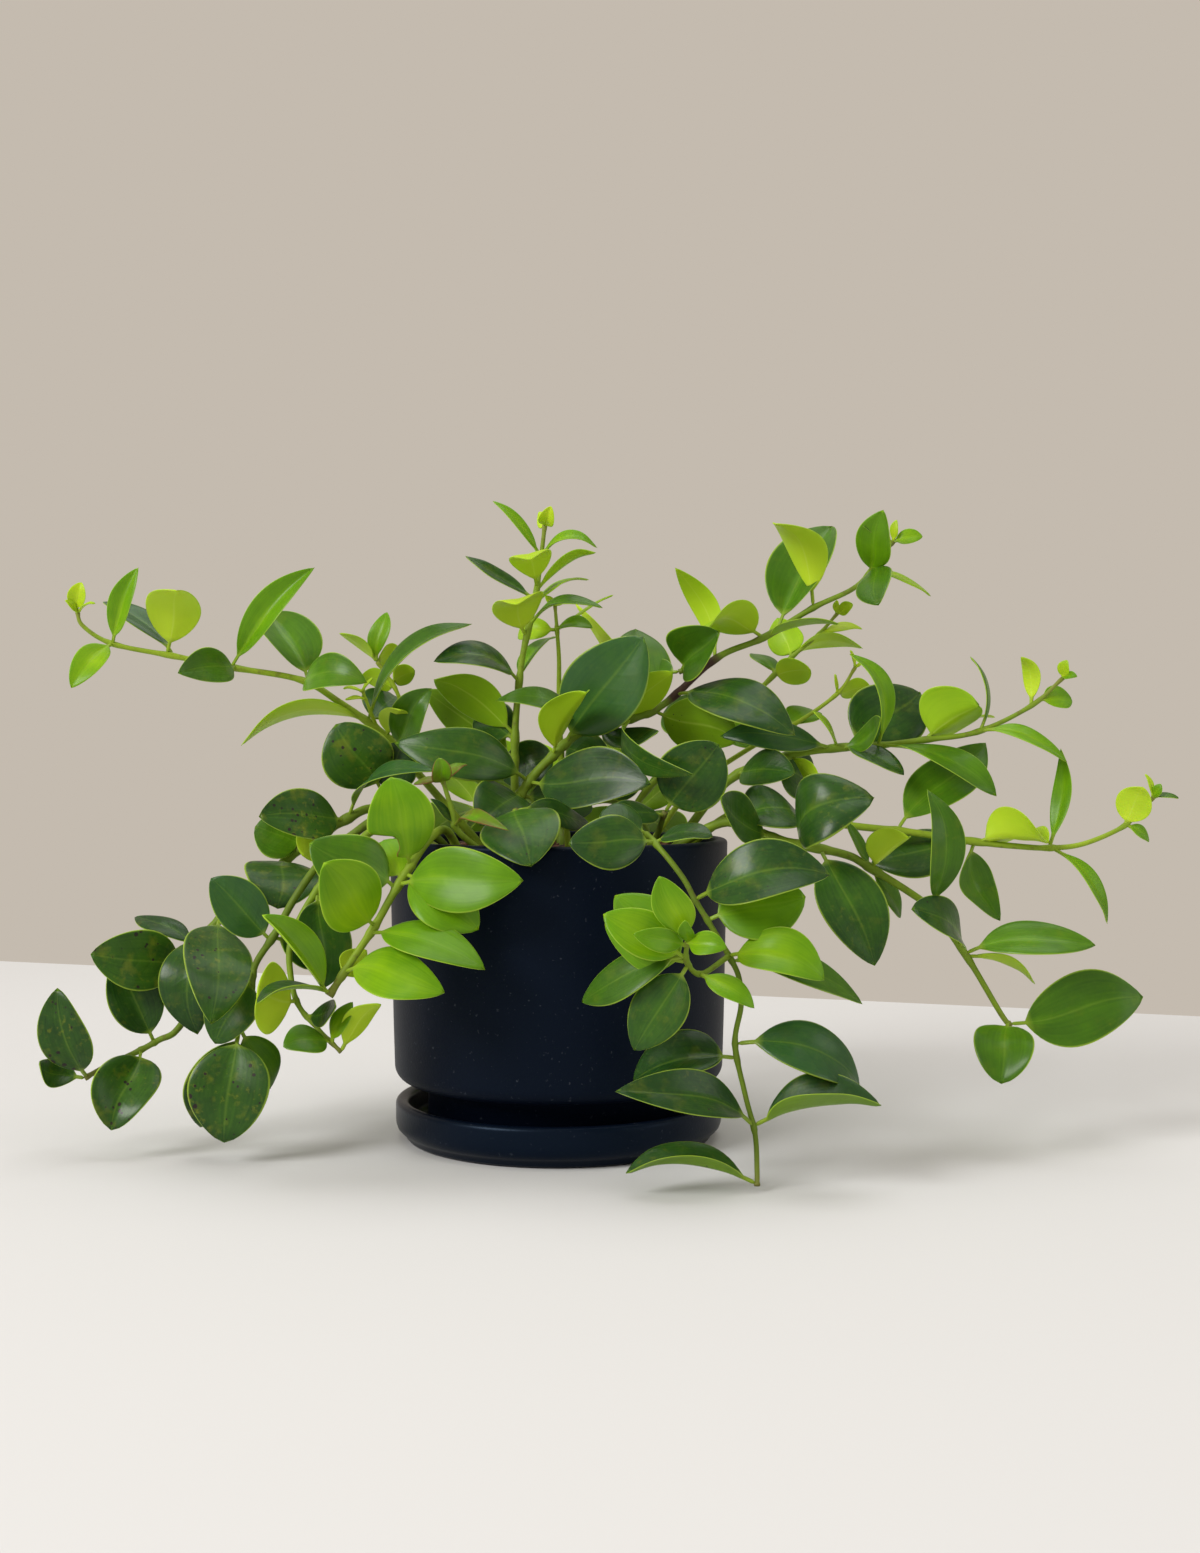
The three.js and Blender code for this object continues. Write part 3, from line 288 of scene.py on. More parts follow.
         "leaves": [[7, -167, -4, -68, 37, 15, 0.1, 4], [6.9, -179.5, 3, -46, 31, -10, 0.06, 8],
                    [6.9, -143, 22, -40, 22, 20, 0.08, 4], [5.3, -172, 45, -62, 26, 20, 0.02, 5],
                    [4.2, -174, 128, -62, 26, 8, 0.05, 14], [4.1, -121, 88, -34, 22, 30, 0.1, 5]]},
    ]},
    {"name": "vine_left_outer", "stems": [
        {"root": [-66, 2], "thick": [2.4, 1.2], "shades": "odododdogyoto",
         "route": [[-90, 162, -2], [-107, 157, -8], [-130, 142, -14], [-150, 124, -18],
                   [-170, 107, -22], [-184, 88, -24], [-186, 62, -26], [-192, 51, -30],
                   [-200, 47, -32], [-209, 42, -34], [-226, 34, -38], [-237, 28, -40]],
         "leaves": [[10.9, -251, 73, -56, 26, -30, 0.15, 8], [11, -260, 36, -54, 15, 25, -0.3, 14],
                    [9, -224, 2, -62, 34, 5, 0.08, 25], [8.3, -222, 88, -34, 26, 8, 0.04, 12],
                    [5.2, -234, 90, -50, 31, 5, 0.05, 5], [4.8, -212, 108, -8, 15, 45, 0.12, 5],
                    [4.3, -181, 49, -44, 29, 25, 0.3, 8], [2.35, -141, 113, -50, 37, 0, 0.15, 5],
                    [1.9, -152, 154, -18, 27, 20, 0.05, 5], [1.4, -128, 139, -24, 20, 170, 0.02, 5],
                    [1, -150, 159, -38, 27, 24, 0.08, 5], [0.9, -62, 181, -40, 22, 80, 0.2, 5],
                    [4, -174, 55, -84, 34, 8, 0.1, 5]]},
    ]},
    {"name": "shoot_front_young", "stems": [
        {"root": [-34, -58], "thick": [1.6, 1], "shades": "nnnnd",
         "route": [[-51, 152, -60], [-53, 160, -60], [-56, 170, -60], [-58, 176, -60]],
         "leaves": [[3, -60, 188, -66, 11, 0, 0.2, 28], [3, -73, 175, -58, 5, 50, 0.12, 8],
                    [3, -46, 185, -52, 9, 60, 0.12, 10], [0.2, -25, 152, -100, 9, 50, 0.14, 12],
                    [0.3, -64, 168, -62, 7, 50, 0.02, 10]]},
    ]},
    {"name": "shoot_front_centre", "stems": [
        {"root": [-16, -44], "thick": [1.7, 1.2], "shades": "dd",
         "route": [[-20, 157, -48], [-22, 162, -52]],
         "leaves": [[1, -14, 134, -99, 36, 0, 0.12, 5], [0.9, 14, 155, -16, 14, 30, 0.1, 5]]},
    ]},
    {"name": "shoot_front_right", "stems": [
        {"root": [46, -22], "thick": [1.8, 1.2], "shades": "dd",
         "route": [[50, 152, -28], [53, 161, -32]],
         "leaves": [[1, 80, 195, -40, 34, 8, 0.05, 8], [0.8, 24, 159, -52, 18, 50, 0.05, 5]]},
    ]},
    {"name": "shoot_left_crown", "stems": [
        {"root": [-58, 16], "thick": [1.8, 1.2], "shades": "od",
         "route": [[-74, 160, 10], [-89, 172, 2]],
         "leaves": [[1, -112, 205, -10, 36, 0, 0.1, 3], [0.8, -78, 196, 2, 24, 12, 0.08, 5]]},
    ]},
    {"name": "vine_back", "stems": [
        {"root": [0, 52], "thick": [2.5, 1.2], "shades": "ggbgdgdgddgg",
         "route": [[-1, 158, 66], [-1, 161, 84], [-3, 154, 104], [-4, 134, 116], [-3, 108, 122],
                   [-1, 86, 124]],
         "leaves": [[0, -42, 176, 70, 30, 120, 0.12, 8], [0.1, 40, 178, 74, 30, 120, 0.12, 8],
                    [1, -14, 196, 120, 28, 135, 0.1, 10], [1.2, 22, 182, 130, 30, 140, 0.1, 8],
                    [2.1, -50, 140, 124, 30, 150, 0.12, 8], [2, 44, 146, 126, 30, 150, 0.12, 8],
                    [3, -28, 112, 152, 28, 160, 0.12, 8], [3.1, 30, 122, 156, 30, 160, 0.12, 8],
                    [4, -48, 90, 130, 29, 150, 0.12, 8], [4.1, 46, 92, 136, 29, 150, 0.12, 8],
                    [5, -24, 50, 136, 27, 165, 0.1, 8], [5, 24, 56, 142, 27, 165, 0.1, 8]]},
        {"thick": [1.9, 1.1], "shades": "bgdgdgd",
         "route": [[-1, 160, 74], [-20, 167, 82], [-40, 163, 94], [-52, 144, 104], [-58, 120, 112]],
         "leaves": [[1, -34, 198, 96, 26, 120, 0.1, 8], [2, -66, 186, 92, 28, 125, 0.12, 8],
                    [2, -68, 146, 132, 29, 150, 0.12, 8], [3, -79, 115, 118, 27, 150, 0.12, 8],
                    [3.1, -30, 124, 144, 28, 150, 0.12, 8], [3.9, -77, 86, 122, 26, 160, 0.1, 8],
                    [4, -46, 82, 124, 24, 160, 0.1, 8]]},
        {"thick": [1.9, 1.1], "shades": "bgdgdgd",
         "route": [[-1, 160, 76], [20, 167, 84], [38, 161, 94], [48, 142, 104], [52, 118, 110]],
         "leaves": [[1, 36, 198, 98, 26, 125, 0.1, 8], [2, 72, 180, 102, 28, 130, 0.12, 8],
                    [2.1, 62, 142, 136, 30, 150, 0.12, 8], [3, 76, 120, 120, 28, 150, 0.12, 8],
                    [3.1, 22, 120, 146, 28, 150, 0.12, 8], [4, 68, 80, 122, 28, 160, 0.1, 8],
                    [4, 38, 78, 128, 24, 160, 0.1, 8]]},
    ]},
]


def seen(across, up, depth):
    """Point at a depth that is seen at a place in the plane of the pot's middle."""
    scale = (depth - VIEWER.y) / -VIEWER.y
    return Vector((VIEWER.x + (across - VIEWER.x) * scale, depth, VIEWER.z + (up - VIEWER.z) * scale))


class Route:
    """Smooth curve through points, with a place counted in points from the first."""

    def __init__(self, points):
        self.points = [2 * points[0] - points[1]] + points + [2 * points[-1] - points[-2]]
        self.last = len(points) - 1

    def at(self, place):
        place = min(max(place, 0), self.last - 1e-6)
        index = int(place)
        step = place - index
        before, start, end, after = self.points[index:index + 4]
        leave = (end - before) / 2
        arrive = (after - start) / 2
        return ((2 * start - 2 * end + leave + arrive) * step ** 3
                + (3 * end - 3 * start - 2 * leave - arrive) * step ** 2 + leave * step + start)

    def heading(self, place):
        reach = 0.02
        return (self.at(place + reach) - self.at(place - reach)).normalized()


def blade_share(share, stoutness):
    """Half width of a blade at a share of its length, as a part of its greatest half width."""
    if share <= 0 or share >= 1:
        return 0
    rise = min(max(SLENDER - STOUT * stoutness, LEAST), MOST)
    fall = rise + POINTED
    widest = rise / (rise + fall)
    most = widest ** rise * (1 - widest) ** fall
    return share ** rise * (1 - share) ** fall / most


def smooth(low, high, value):
    """Soft step from 0 at low to 1 at high."""
    share = min(max((value - low) / (high - low), 0), 1)
    return share * share * (3 - 2 * share)


def wrapped_grid(bm, around, along, place):
    """Closed body from a grid whose sides meet. place gives a point and its attributes in the grid.

    The materials read the attributes. On a leaf place is across, along and top side, and look is age,
    spots, painted teal sheen with gloss and brown. On a stem look is age, along, nothing and bark.
    """
    shape = bm.verts.layers.float_vector["place"]
    look = bm.verts.layers.float_color["look"]
    made = bmesh.ops.create_grid(bm, x_segments=around, y_segments=along, size=0.5)["verts"]
    faces = {face for vert in made for face in vert.link_faces}
    for vert in made:
        point, form, colour = place(vert.co.x + 0.5, vert.co.y + 0.5)
        vert.co = point * MM
        vert[shape] = form
        vert[look] = colour
    bmesh.ops.remove_doubles(bm, verts=made, dist=MERGE_DISTANCE)
    return [face for face in faces if face.is_valid]


def add_leaf(bm, foot, tip, towards, form, look, draw, bite):
    """Leaf from foot to tip. A bite is (half, place, reach, depth) where the margin is eaten away."""
    width, face, bend, fold, twist = (*form, 0)[:5]
    along = tip - foot
    length = along.length
    along.normalize()
    square = (towards - along * towards.dot(along)).normalized()
    upward = towards.cross(along).normalized() * (-1 if along.x < 0 else 1)
    lifts = [math.radians(fold + draw.uniform(-5, 6)) for half in range(2)]
    halves = [1 + draw.uniform(-0.07, 0.07) for half in range(2)]
    ripple = RIPPLE * width * (0.4 + draw.random())
    phase = draw.random() * math.tau
    rolled = draw.uniform(-0.04, 0.12)
    sway = draw.uniform(-0.035, 0.035)
    hook = draw.uniform(-0.05, 0.025)

    def turned(degrees):
        angle = math.radians(degrees)
        return square * math.cos(angle) + upward * math.sin(angle)

    arch = turned(face)

    def place(turn, share):
        centre = foot + along * length * share + arch * bend * length * 4 * share * (1 - share)
        heading = (along + arch * bend * 4 * (1 - 2 * share)).normalized()
        normal = turned(face + twist * (share - 0.5))
        normal = (normal - heading * normal.dot(heading)).normalized()
        side = heading.cross(normal)
        centre += side * sway * length * math.sin(share * math.tau)
        centre += normal * hook * length * smooth(0.65, 1, share) ** 2

        # Round the section: across is -1 and 1 at the margins, and level is -1 below and 1 on top
        angle = turn * math.tau
        across = math.cos(angle)
        level = math.copysign(abs(math.sin(angle)) ** 0.6, math.sin(angle))
        right = across > 0

        # The outline, narrow along the petiole and closed at both ends
        blade = (share - PETIOLE_SHARE) / (1 - PETIOLE_SHARE)
        inside = smooth(0, 0.12, blade)
        spread = width / 2 * blade_share(blade, width / length) * halves[right]
        eaten = 0
        if bite and right == bite[0]:
            eaten = math.exp(-((share - bite[1]) / bite[2]) ** 4)
            spread *= 1 - bite[3] * eaten
        half = max(spread, PETIOLE_HALF_WIDTH * smooth(1, 0.9, share))
        thickness = PETIOLE_THICKNESS + (BLADE_THICKNESS - PETIOLE_THICKNESS) * inside
        if share < 0.01 or share > 0.995:
            half = 0
            thickness = 0

        # The halves rise from a soft crease, and the margins roll down
        lift = lifts[right]
        opened = math.sqrt(across * across + 0.012) - 0.1
        wave = ripple * across * across * math.sin(share * 9 + phase + right * 1.9) * inside
        swell = SWELL * half * noise.noise(Vector((across * 1.4, share * 3, phase))) * inside
        groove = GROOVE * math.exp(-(across / 0.07) ** 2) * inside * (1 - share)
        height = opened * half * math.sin(lift) + level * thickness / 2 + wave + swell - groove
        height -= rolled * half * across ** 4
        point = centre + side * across * half * math.cos(lift) + normal * height
        worn = max(look[3], eaten * abs(across))
        return point, Vector((across, share, 1 if level >= 0 else 0)), (*look[:3], worn)

    wrapped_grid(bm, LEAF_AROUND, LEAF_ALONG, place)


def add_stem(bm, route, thick, root, knots, age, woody):
    """Stem along a route, from its hole in the soil where it has a root. Gives back its faces."""
    steps = int(route.last * STEM_STEPS_PER_SPAN)
    places = [step / STEM_STEPS_PER_SPAN for step in range(steps + 1)]
    centres = [route.at(place) for place in places]
    headings = [route.heading(place) for place in places]
    radii = []
    bark = []
    for step, place in enumerate(places):
        swelling = min(sum(math.exp(-((place - knot) / KNOT_REACH) ** 2) for knot in knots), 1)
        taper = thick[0] + (thick[1] - thick[0]) * step / steps
        radii.append(taper * (1 + KNOT_SWELLING * swelling))
        bark.append(smooth(woody[0] - WOODY_FADE, woody[0], place)
                    * smooth(woody[1] + WOODY_FADE, woody[1], place))
    if root:
        upright = Vector((0, 0, 1))
        centres.insert(0, Vector((root[0], root[1], SOIL_TOP - HOLE_DEPTH + SOIL_GAP)))
        headings = [upright, upright] + headings[1:]
        radii = [thick[0], thick[0]] + radii[1:]
        bark.insert(0, 0)

    # A ring of no size closes each end
    centres = [centres[0]] + centres + [centres[-1]]
    headings = [headings[0]] + headings + [headings[-1]]
    radii = [0] + radii + [0]
    bark = [0] + bark + [0]
    sideways = Vector((1, 0, 0)) if abs(headings[0].x) < 0.8 else Vector((0, 0, 1))
    frames = []
    for heading in headings:
        sideways = (sideways - heading * sideways.dot(heading)).normalized()
        frames.append((sideways, heading.cross(sideways)))
    rings = len(centres) - 1

    def place(turn, share):
        ring = round(share * rings)
        angle = turn * math.tau
        first, second = frames[ring]
        point = centres[ring] + (first * math.cos(angle) + second * math.sin(angle)) * radii[ring]
        return point, Vector((turn, share, 1)), (age, share, 0, bark[ring])

    return wrapped_grid(bm, STEM_AROUND, rings, place)


def to_object(bm, name, materials):
    mesh = bpy.data.meshes.new(name)
    bm.to_mesh(mesh)
    bm.free()
    for material in materials:
        mesh.materials.append(material)
    obj = bpy.data.objects.new(name, mesh)
    bpy.context.collection.objects.link(obj)
    return obj


def finish_piece(bm, name, node, materials):
    """Smooth piece with its faces outwards, which stands for a node of the model."""
    for face in bm.faces:
        face.smooth = True
    bmesh.ops.recalc_face_normals(bm, faces=bm.faces)
    piece = to_object(bm, name, materials)
    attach(piece, "root")
    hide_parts(node)


class Value:
    """A number in a material's nodes, with the usual arithmetic."""

    def __init__(self, graph, socket):
        self.graph = graph
        self.socket = socket

    def math(self, operation, first, second=None, clamp=False):
        sockets = {0: first} if second is None else {0: first, 1: second}
        settings = {"operation": operation, "use_clamp": clamp}
        return self.graph.value("ShaderNodeMath", settings, sockets)

    def __add__(self, other):
        return self.math("ADD", self, other)

    def __radd__(self, other):
        return self.math("ADD", other, self)

    def __sub__(self, other):
        return self.math("SUBTRACT", self, other)

    def __rsub__(self, other):
        return self.math("SUBTRACT", other, self)

    def __mul__(self, other):
        return self.math("MULTIPLY", self, other)

    def __rmul__(self, other):
        return self.math("MULTIPLY", other, self)

    def __truediv__(self, other):
        return self.math("DIVIDE", self, other)

    def __rtruediv__(self, other):
        return self.math("DIVIDE", other, self)

    def __pow__(self, other):
        return self.math("POWER", self, other)

    def __abs__(self):
        return self.math("ABSOLUTE", self)

    def sine(self):
        return self.math("SINE", self)

    def clamped(self):
        return self.math("ADD", self, 0.0, clamp=True)


class Graph:
    """Node tree of one material around its own Principled shader."""

    def __init__(self, name, **constants):
        self.material = bpy.data.materials.new(name)
        self.material.use_nodes = True
        self.tree = self.material.node_tree
        self.shader = self.tree.nodes["Principled BSDF"]
        for socket, value in constants.items():
            self.shader.inputs[socket.replace("_", " ")].default_value = value

    def node(self, kind, settings=None, sockets=None):
        """Any node, with its settings made first and then its sockets set or linked."""
        node = self.tree.nodes.new(kind)
        for key, value in (settings or {}).items():
            setattr(node, key, value)
        for key, value in (sockets or {}).items():
            self.join(value, node.inputs[key])
        return node

    def join(self, value, socket):
        if isinstance(value, Value):
            self.tree.links.new(value.socket, socket)
        else:
            socket.default_value = value

    def value(self, kind, settings=None, sockets=None, output=0):
        return Value(self, self.node(kind, settings, sockets).outputs[output])

    def feed(self, socket, value):
        self.join(value, self.shader.inputs[socket])

    def mix(self, share, first, second):
        return self.value("ShaderNodeMix", {"data_type": "RGBA"}, {0: share, 6: first, 7: second}, 2)

    def ramp(self, share, stops):
        node = self.node("ShaderNodeValToRGB", None, {0: share})
        elements = node.color_ramp.elements
        while len(elements) < len(stops):
            elements.new(0.5)
        for element, (position, colour) in zip(elements, stops):
            element.position = position
            element.color = colour
        return Value(self, node.outputs[0])

    def object_point(self):
        return self.value("ShaderNodeTexCoord", output="Object")

    def stretched(self, vector, scale):
        return self.value("ShaderNodeMapping", None, {0: vector, 3: scale})

    def noise(self, scale, detail=3.0, roughness=0.5, point=None):
        return self.value("ShaderNodeTexNoise", None, {
            "Vector": point or self.object_point(), "Scale": scale, "Detail": detail,
            "Roughness": roughness})

    def cells(self, scale):
        return self.value("ShaderNodeTexVoronoi", None, {"Vector": self.object_point(), "Scale": scale})

    def attribute(self, name, output):
        return self.value("ShaderNodeAttribute", {"attribute_name": name}, None, output)

    def parts(self, vector):
        node = self.node("ShaderNodeSeparateXYZ", None, {0: vector})
        return [Value(self, socket) for socket in node.outputs]

    def bump(self, height, distance, strength=1.0):
        self.feed("Normal", self.value("ShaderNodeBump", None,
                                       {"Height": height, "Distance": distance, "Strength": strength}))


def leaf_material():
    graph = Graph("waxy_leaf", IOR=1.42, Specular_IOR_Level=0.13, Coat_Roughness=0.24,
                  Subsurface_Weight=0.3, Subsurface_Radius=(0.7, 1, 0.1), Subsurface_Scale=0.0015)
    place = graph.attribute("place", "Vector")
    across, along, side = graph.parts(place)
    # The look attribute holds age, spots, an amount of painted teal sheen that also adds gloss, and brown
    age, spots, painted_sheen_and_gloss = graph.parts(graph.attribute("look", "Color"))
    brown = graph.attribute("look", "Alpha")
    spread = abs(across)
    patch = graph.noise(38, 3)
    grain = graph.noise(420, 3)
    small = graph.noise(150, 3)
    streaks = graph.noise(1, 3, point=graph.stretched(place, (9, 1.6, 1)))

    # Colours from young and lime to old and deep green, lighter along the midrib
    glow = (1 - spread * 1.6).clamped() * (1 - along * 0.7)
    tone = (age + (patch - 0.5) * 0.3 + (small - 0.5) * age * 0.16 + (along - 0.5) * 0.1
            + (streaks - 0.5) * (0.1 + age * 0.16) - glow * 0.08 + 0.03).clamped()
    upper = graph.ramp(tone, [(0.0, (0.4, 0.54, 0.016, 1)), (0.25, (0.24, 0.41, 0.006, 1)),
                              (0.45, (0.11, 0.26, 0.003, 1)), (0.66, (0.054, 0.145, 0.003, 1)),
                              (0.88, (0.023, 0.072, 0.003, 1)), (1.0, (0.011, 0.04, 0.003, 1))])
    under = graph.ramp(tone, [(0.0, (0.46, 0.62, 0.03, 1)), (0.3, (0.35, 0.54, 0.015, 1)),
                              (0.6, (0.22, 0.4, 0.01, 1)), (1.0, (0.12, 0.23, 0.012, 1))])

    # Painted bluish sheen on top that stands in for reflected light, pale mottling on top, and the midrib
    # on both sides
    upper = graph.mix(painted_sheen_and_gloss * 0.5, upper, (0.03, 0.11, 0.04, 1))
    mottle = ((graph.noise(120, 4) - 0.56) * 7).clamped() * spots
    upper = graph.mix(mottle * 0.35, upper, (0.19, 0.21, 0.012, 1))
    midrib = (1 - spread / 0.06).clamped() * (1 - along * 0.6)
    upper = graph.mix(midrib * 0.3, upper, (0.22, 0.36, 0.03, 1))
    under = graph.mix(midrib * 0.45, under, (0.55, 0.68, 0.12, 1))
    colour = graph.mix(side, under, upper)

    # Pale flecks and dark dots
    flecks = ((graph.noise(380, 3) - 0.57) * 9).clamped() * ((graph.noise(45, 2) - 0.44) * 5).clamped()
    colour = graph.mix(flecks * spots * side * 0.35, colour, (0.24, 0.25, 0.014, 1))
    reach = (graph.noise(55, 4, 0.65) - 0.42) * 1.5 * spots
    colour = graph.mix(((reach - graph.cells(260)) * 26).clamped() * 0.9, colour, (0.018, 0.007, 0.012, 1))

    # Pale margin, brown where it is eaten or dry, and pale stalk
    edge = ((spread - 0.94) / 0.06).clamped()
    colour = graph.mix(edge * 0.75, colour, (0.36, 0.5, 0.05, 1))
    dry = ((spread - 0.86) / 0.1).clamped() * (brown * 3).clamped()
    colour = graph.mix(dry, colour, (0.2, 0.09, 0.03, 1))
    blush = ((graph.noise(110, 3) - 0.35) * 3).clamped() * ((brown - 0.45) * 2).clamped()
    colour = graph.mix(blush * 0.8, colour, (0.12, 0.05, 0.02, 1))
    stalk = ((0.17 - along) / 0.06).clamped()
    colour = graph.mix(stalk * 0.8, colour, (0.25, 0.36, 0.03, 1))
    colour = graph.mix((grain - 0.5).clamped() * age * 0.14, colour, (0.28, 0.42, 0.06, 1))
    graph.feed("Base Color", colour)
    graph.feed("Roughness", 0.47 - side * age * 0.15 + (patch - 0.5) * 0.16 + painted_sheen_and_gloss * 0.04)
    graph.feed("Coat Weight", 0.07 + side * age * 0.18 + painted_sheen_and_gloss * 0.1)
    veins = (((along * 8 - spread * 1.5) * math.tau).sine() * 0.5 + 0.5) ** 6
    graph.bump(grain * 0.2 + patch * 1.6 + veins * age * age * 0.45 * (1 - spread) + streaks * age * 0.5
               - mottle * 0.3, 0.0004, 0.6)
    return graph.material


def stem_material():
    graph = Graph("fleshy_stem", IOR=1.42, Specular_IOR_Level=0.3)
    age, along = graph.parts(graph.attribute("look", "Color"))[:2]
    patch = graph.noise(60, 4)
    streaks = graph.noise(240, 3)
    tip = ((along - 0.86) / 0.14).clamped()
    colour = graph.ramp((age + (patch - 0.5) * 0.6).clamped(),
                        [(0.0, (0.3, 0.42, 0.02, 1)), (0.5, (0.15, 0.24, 0.012, 1)),
                         (1.0, (0.06, 0.095, 0.01, 1))])
    colour = graph.mix(tip * 0.5, colour, (0.17, 0.1, 0.05, 1))
    flecks = ((streaks - 0.6) * 8).clamped()
    colour = graph.mix(flecks * 0.45, colour, (0.12, 0.065, 0.03, 1))
    bark = graph.attribute("look", "Alpha")
    colour = graph.mix(bark, colour, graph.mix(streaks, (0.02, 0.009, 0.006, 1), (0.09, 0.045, 0.03, 1)))
    graph.feed("Base Color", colour)
    graph.feed("Roughness", 0.45 + streaks * 0.2)
    graph.bump(streaks + patch, 0.0005, 0.7)
    return graph.material


def glaze_material(name, colour, light, roughness):
    graph = Graph(name, IOR=1.45, Specular_IOR_Level=0.16, Specular_Tint=(0.45, 0.68, 1, 1),
                  Coat_Roughness=0.3)
    cloud = graph.noise(9, 3)
    pores = graph.noise(900, 2)
    speck = ((graph.noise(520, 2) - 0.68) * 12).clamped()
    body = graph.mix(cloud * 0.6, colour, light)
    graph.feed("Base Color", graph.mix(speck * 0.35, body, (0.07, 0.08, 0.1, 1)))
    graph.feed("Roughness", roughness + (cloud - 0.5) * 0.1 + (pores - 0.5) * 0.08)
    graph.feed("Coat Weight", cloud * 0.02)
    graph.bump(pores * 0.5 + graph.noise(60, 3) * 0.8, 0.00025, 0.5)
    return graph.material


def soil_material():
    graph = Graph("bark_mix", IOR=1.4)
    grain = graph.noise(300, 6, 0.65)
    lumps = graph.noise(70, 4)
    tone = graph.attribute("look", "Fac")
    colour = graph.ramp((lumps * 0.5 + grain * 0.5).clamped(),
                        [(0.3, (0.006, 0.004, 0.003, 1)), (0.52, (0.026, 0.014, 0.009, 1)),
                         (0.75, (0.09, 0.045, 0.025, 1))])
    colour = graph.mix(tone, colour, graph.mix(lumps, (0.05, 0.02, 0.012, 1), (0.24, 0.1, 0.045, 1)))
    graph.feed("Base Color", colour)
    graph.feed("Roughness", 0.75 + grain * 0.2)
    graph.bump(grain + lumps, 0.0018, 0.9)
    return graph.material


def make_vine(vine, materials, draw):
    """One vine with its leaves, in the materials for leaves and for stems."""
    bm = bmesh.new()
    bm.verts.layers.float_vector.new("place")
    bm.verts.layers.float_color.new("look")
    for stem in vine["stems"]:
        points = [seen(*point) for point in stem["route"]]
        root = stem.get("root")
        start = 1 if root else 0
        if root:
            points.insert(0, Vector((root[0], root[1], SOIL_TOP + 2 * SOIL_BUMP)))
        route = Route(points)
        knots = [leaf[0] + start for leaf in stem["leaves"]]
        ages = [SHADES[shade][0] for shade in stem["shades"]]
        age = sum(ages) / len(ages) - 0.1 + draw.uniform(-0.08, 0.08)
        woody = stem.get("woody", (-2, -2))
        for face in add_stem(bm, route, stem["thick"], root, knots, age, woody):
            face.material_index = 1
        bites = stem.get("bites", {})
        for index, (leaf, shade) in enumerate(zip(stem["leaves"], stem["shades"])):
            at, across, up, depth, *form = leaf
            foot = route.at(at + start)
            tip = seen(across, up, depth)
            towards = (VIEWER - (foot + tip) / 2).normalized()
            # The third value is how much painted teal sheen a leaf has, which also adds gloss
            old, spots, painted_sheen_and_gloss, brown = SHADES[shade]
            old = min(max(old + draw.uniform(-0.07, 0.07), 0), 1)
            add_leaf(bm, foot, tip, towards, form, (old, spots, painted_sheen_and_gloss, brown), draw, bites.get(index))
    finish_piece(bm, vine["name"] + "_leafy", vine["name"], materials)


def quarter(centre_radius, centre_height, radius, start, steps=6):
    """Points of a quarter round in a profile, from a start angle in degrees."""
    angles = [math.radians(start + 90 * step / steps) for step in range(steps + 1)]
    return [(centre_radius + radius * math.cos(a), centre_height + radius * math.sin(a)) for a in angles]


def turned_body(name, profile, node, material, steps=144, shape=None):
    """Round body from a closed profile of radius and height in millimetres."""
    bm = bmesh.new()
    look = bm.verts.layers.float_color.new("look")
    ring = [bm.verts.new((radius * MM, 0, height * MM)) for radius, height in profile]
    edges = [bm.edges.new((ring[i], ring[i + 1])) for i in range(len(ring) - 1)]
    bmesh.ops.spin(bm, geom=ring + edges, axis=(0, 0, 1), cent=(0, 0, 0), steps=steps, angle=math.tau,
                   use_merge=True)
    bmesh.ops.remove_doubles(bm, verts=bm.verts, dist=MERGE_DISTANCE)
    if shape:
        shape(bm, look)
    finish_piece(bm, name, node, [material])


def inner_radius(height):
    """Radius of the pot's inner wall at a height."""
    share = (height - BASE_HEIGHT) / (RIM_HEIGHT - BASE_HEIGHT)
    return BASE_RADIUS + (RIM_RADIUS - BASE_RADIUS) * share - WALL


def make_pot(material):
    """Hollow pot: drain hole, foot ring, outer wall, rolled rim, inner wall and floor."""
    profile = [
        (DRAIN_RADIUS, BASE_HEIGHT), (FOOT_INSIDE - 0.5, BASE_HEIGHT), (FOOT_INSIDE, BASE_HEIGHT - 0.6),
        (FOOT_INSIDE, FOOT_BOTTOM + 0.9), (FOOT_INSIDE + 1, FOOT_BOTTOM), (FOOT_OUTSIDE - 1, FOOT_BOTTOM),
        (FOOT_OUTSIDE, FOOT_BOTTOM + 0.9), (FOOT_OUTSIDE, BASE_HEIGHT - 1), (FOOT_OUTSIDE + 1, BASE_HEIGHT),
        *quarter(BASE_RADIUS - 8, BASE_HEIGHT + 8, 8, -90, 10),
        (82.2, 60), (82.9, 95), (83.6, 128),
        *quarter(RIM_RADIUS - LIP, RIM_HEIGHT - LIP, LIP, 0),
        *quarter(RIM_RADIUS - WALL + LIP, RIM_HEIGHT - LIP, LIP, 90),
        (inner_radius(FLOOR_TOP + 8), FLOOR_TOP + 8),
        (inner_radius(FLOOR_TOP + 2.5) - 2.5, FLOOR_TOP + 2.5),
        (inner_radius(FLOOR_TOP) - 8, FLOOR_TOP), (DRAIN_RADIUS, FLOOR_TOP), (DRAIN_RADIUS, BASE_HEIGHT),
    ]
    turned_body("pot_glazed", profile, "pot", material)


def make_saucer(material):
    """Saucer: flat underside, curved outer wall, rolled lip and shallow well."""
    profile = [
        (0, 0), (72, 0), (75, 0.5), (76, 1.6), (76.6, 3.2), (78.6, 4.6), (80.1, 6.2), (80.8, 8.2),
        (81, 10.5), (81, 17), *quarter(78.4, 17.4, 2.6, 0), (76.4, 19.6), (75, 18.7), (74.4, 17),
        (73.4, 10.5), (72.4, 8.4), (70.4, 7), (0, 7),
    ]
    turned_body("saucer_glazed", profile, "saucer", material)


